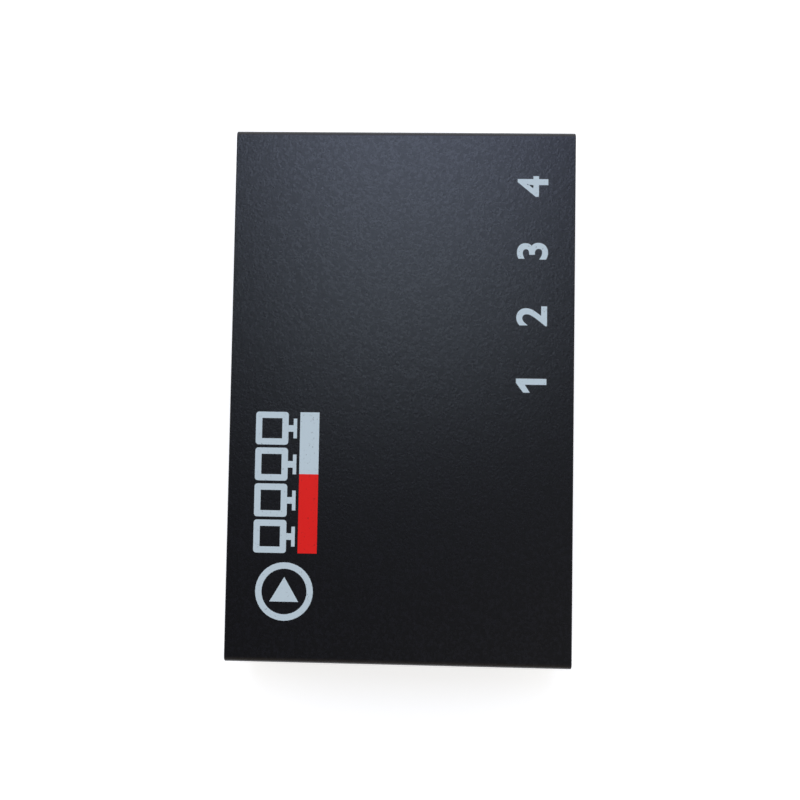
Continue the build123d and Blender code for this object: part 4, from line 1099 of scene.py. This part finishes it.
def soft_light(name, place, size, power, tone):
    """A rectangular area light that points at the object and that the camera doesn't see."""
    light = bpy.data.lights.new(name, "AREA")
    light.shape = "RECTANGLE"
    light.size, light.size_y = size
    light.energy = power
    light.color = tone[:3]
    lamp = bpy.data.objects.new(name, light)
    bpy.context.scene.collection.objects.link(lamp)
    lamp.location = place
    lamp.rotation_euler = (-Vector(place)).to_track_quat("-Z", "Y").to_euler()
    lamp.visible_camera = False
    return lamp


class SPLITTER_OT_build_stage(bpy.types.Operator):
    """Builds floor, light and camera"""

    bl_idname = "splitter.build_stage"
    bl_label = "Build the stage"

    def execute(self, context):
        scene = context.scene
        look = scene.splitter_stage
        half = look.floor_width / 2
        mesh = bpy.data.meshes.new("floor")
        corners = [(x * half, y * half, 0) for x, y in ((-1, -1), (1, -1), (1, 1), (-1, 1))]
        mesh.from_pydata(corners, [], [(0, 1, 2, 3)])
        floor = bpy.data.objects.new("floor", mesh)
        scene.collection.objects.link(floor)
        mesh.materials.append(self.white_card(look))
        soft_light("panel_light", PANEL_PLACE, PANEL_SIZE, look.panel_power, look.panel_colour)
        soft_light("window_light", WINDOW_PLACE, WINDOW_SIZE, look.window_power, look.window_colour)
        self.light_room(scene, look)
        camera = bpy.data.cameras.new("camera")
        camera.lens = look.lens / MM
        camera.sensor_width = SENSOR_WIDTH
        camera.clip_start = 0.01
        camera.clip_end = 20.0
        view = bpy.data.objects.new("camera", camera)
        scene.collection.objects.link(view)
        turn = Matrix((VIEW_RIGHT, VIEW_UP, VIEW_BACK)).transposed().to_4x4()
        view.matrix_world = Matrix.Translation(Vector(VIEW_PLACE)) @ turn
        scene.camera = view
        scene.view_settings.view_transform = "Standard"
        return {"FINISHED"}

    def white_card(self, look):
        """Matt white card: lit by the lamps, and lifted to white for the camera and for reflections."""
        material = bpy.data.materials.new("white_card")
        material.use_nodes = True
        tree = material.node_tree
        tree.nodes.clear()
        place = add_node(tree, "ShaderNodeTexCoord").outputs["Object"]
        fibre = add_node(tree, "ShaderNodeTexNoise", {"Vector": place, "Scale": 1 / (3 * MM), "Detail": 2.0})
        tone = add_node(
            tree,
            "ShaderNodeMix",
            {"Factor_Float": fibre, "A_Color": darker(look.floor, 0.98), "B_Color": look.floor},
            data_type="RGBA",
        )
        matt = add_node(tree, "ShaderNodeBsdfDiffuse", {"Color": tone})
        path = add_node(tree, "ShaderNodeLightPath")
        seen = path.outputs["Is Camera Ray"]
        for ray in ("Is Glossy Ray", "Is Transmission Ray"):
            either = {"Value": seen, "Value_001": path.outputs[ray]}
            seen = add_node(tree, "ShaderNodeMath", either, operation="MAXIMUM")
        lift = add_node(
            tree, "ShaderNodeMath", {"Value": seen, "Value_001": look.floor_lift}, operation="MULTIPLY"
        )
        glow = add_node(tree, "ShaderNodeEmission", {"Color": WHITE, "Strength": lift})
        both = add_node(tree, "ShaderNodeAddShader", {"Shader": matt, "Shader_001": glow})
        add_node(tree, "ShaderNodeOutputMaterial", {"Surface": both})
        return material

    def light_room(self, scene, look):
        """A pale studio with a dim ceiling, brighter over the -X -Y corner; the camera sees plain white."""
        world = bpy.data.worlds.new("room")
        scene.world = world
        world.use_nodes = True
        tree = world.node_tree
        tree.nodes.clear()
        direction = add_node(tree, "ShaderNodeTexCoord").outputs["Generated"]
        side = add_node(tree, "ShaderNodeSeparateXYZ", {"Vector": direction})
        low, high = FAR_WALL_REACH
        near = add_node(
            tree,
            "ShaderNodeMapRange",
            {"Value": side.outputs["X"], "From Min": low, "From Max": high},
            interpolation_type="SMOOTHSTEP",
        )
        wall = add_node(
            tree,
            "ShaderNodeMix",
            {"Factor_Float": near, "A_Float": look.far_wall, "B_Float": look.walls},
            data_type="FLOAT",
        )
        across = {"Value": side.outputs["X"], "Value_001": side.outputs["Y"]}
        corner = add_node(tree, "ShaderNodeMath", across, operation="ADD")
        low, high = CORNER_REACH
        bright, dim = CORNER_LIGHT * look.ceiling, CEILING_LIGHT * look.ceiling
        ceiling = add_node(
            tree,
            "ShaderNodeMapRange",
            {"Value": corner, "From Min": low, "From Max": high, "To Min": bright, "To Max": dim},
        )
        low, high = CEILING_REACH
        rise = {"Value": side.outputs["Z"], "From Min": low, "From Max": high}
        brightness = add_node(
            tree,
            "ShaderNodeMapRange",
            {**rise, "To Min": wall, "To Max": ceiling},
            interpolation_type="SMOOTHSTEP",
        )
        tone = add_node(
            tree,
            "ShaderNodeMix",
            {"Factor_Float": near, "A_Color": look.far_colour, "B_Color": WHITE},
            data_type="RGBA",
        )
        seen = add_node(tree, "ShaderNodeLightPath").outputs["Is Camera Ray"]
        strength = add_node(
            tree,
            "ShaderNodeMix",
            {"Factor_Float": seen, "A_Float": brightness, "B_Float": 1.0},
            data_type="FLOAT",
        )
        shown = add_node(
            tree,
            "ShaderNodeMix",
            {"Factor_Float": seen, "A_Color": tone, "B_Color": WHITE},
            data_type="RGBA",
        )
        room = add_node(tree, "ShaderNodeBackground", {"Color": shown, "Strength": strength})
        add_node(tree, "ShaderNodeOutputWorld", {"Surface": room})


class SPLITTER_PT_steps(bpy.types.Panel):
    """Lists the steps that finish the splitter"""

    bl_idname = "SPLITTER_PT_steps"
    bl_label = "Video splitter"
    bl_space_type = "VIEW_3D"
    bl_region_type = "UI"
    bl_category = "Splitter"

    def draw(self, context):
        for step in OPERATORS:
            self.layout.operator(step.bl_idname)


SETTINGS = {
    "splitter_coat": CoatSettings,
    "splitter_print": PrintSettings,
    "splitter_metals": MetalSettings,
    "splitter_plastics": PlasticSettings,
    "splitter_board": BoardSettings,
    "splitter_stage": StageSettings,
}
OPERATORS = (
    SPLITTER_OT_finish_case,
    SPLITTER_OT_finish_hardware,
    SPLITTER_OT_finish_sockets,
    SPLITTER_OT_finish_power,
    SPLITTER_OT_finish_lamps,
    SPLITTER_OT_finish_board,
    SPLITTER_OT_print_cover,
    SPLITTER_OT_print_panels,
    SPLITTER_OT_solder_board,
    SPLITTER_OT_print_board,
    SPLITTER_OT_build_stage,
)


def register():
    """Registers settings, operators and the panel."""
    for name, group in SETTINGS.items():
        bpy.utils.register_class(group)
        setattr(bpy.types.Scene, name, bpy.props.PointerProperty(type=group))
    for item in (*OPERATORS, SPLITTER_PT_steps):
        bpy.utils.register_class(item)


def unregister():
    """Takes back what register() added."""
    for item in (SPLITTER_PT_steps, *reversed(OPERATORS)):
        bpy.utils.unregister_class(item)
    for name, group in SETTINGS.items():
        delattr(bpy.types.Scene, name)
        bpy.utils.unregister_class(group)


def main():
    """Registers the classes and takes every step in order."""
    register()
    bpy.ops.splitter.finish_case()
    bpy.ops.splitter.finish_hardware()
    bpy.ops.splitter.finish_sockets()
    bpy.ops.splitter.finish_power()
    bpy.ops.splitter.finish_lamps()
    bpy.ops.splitter.finish_board()
    bpy.ops.splitter.print_cover()
    bpy.ops.splitter.print_panels()
    bpy.ops.splitter.solder_board()
    bpy.ops.splitter.print_board()
    bpy.ops.splitter.build_stage()


if __name__ == "__main__":
    main()
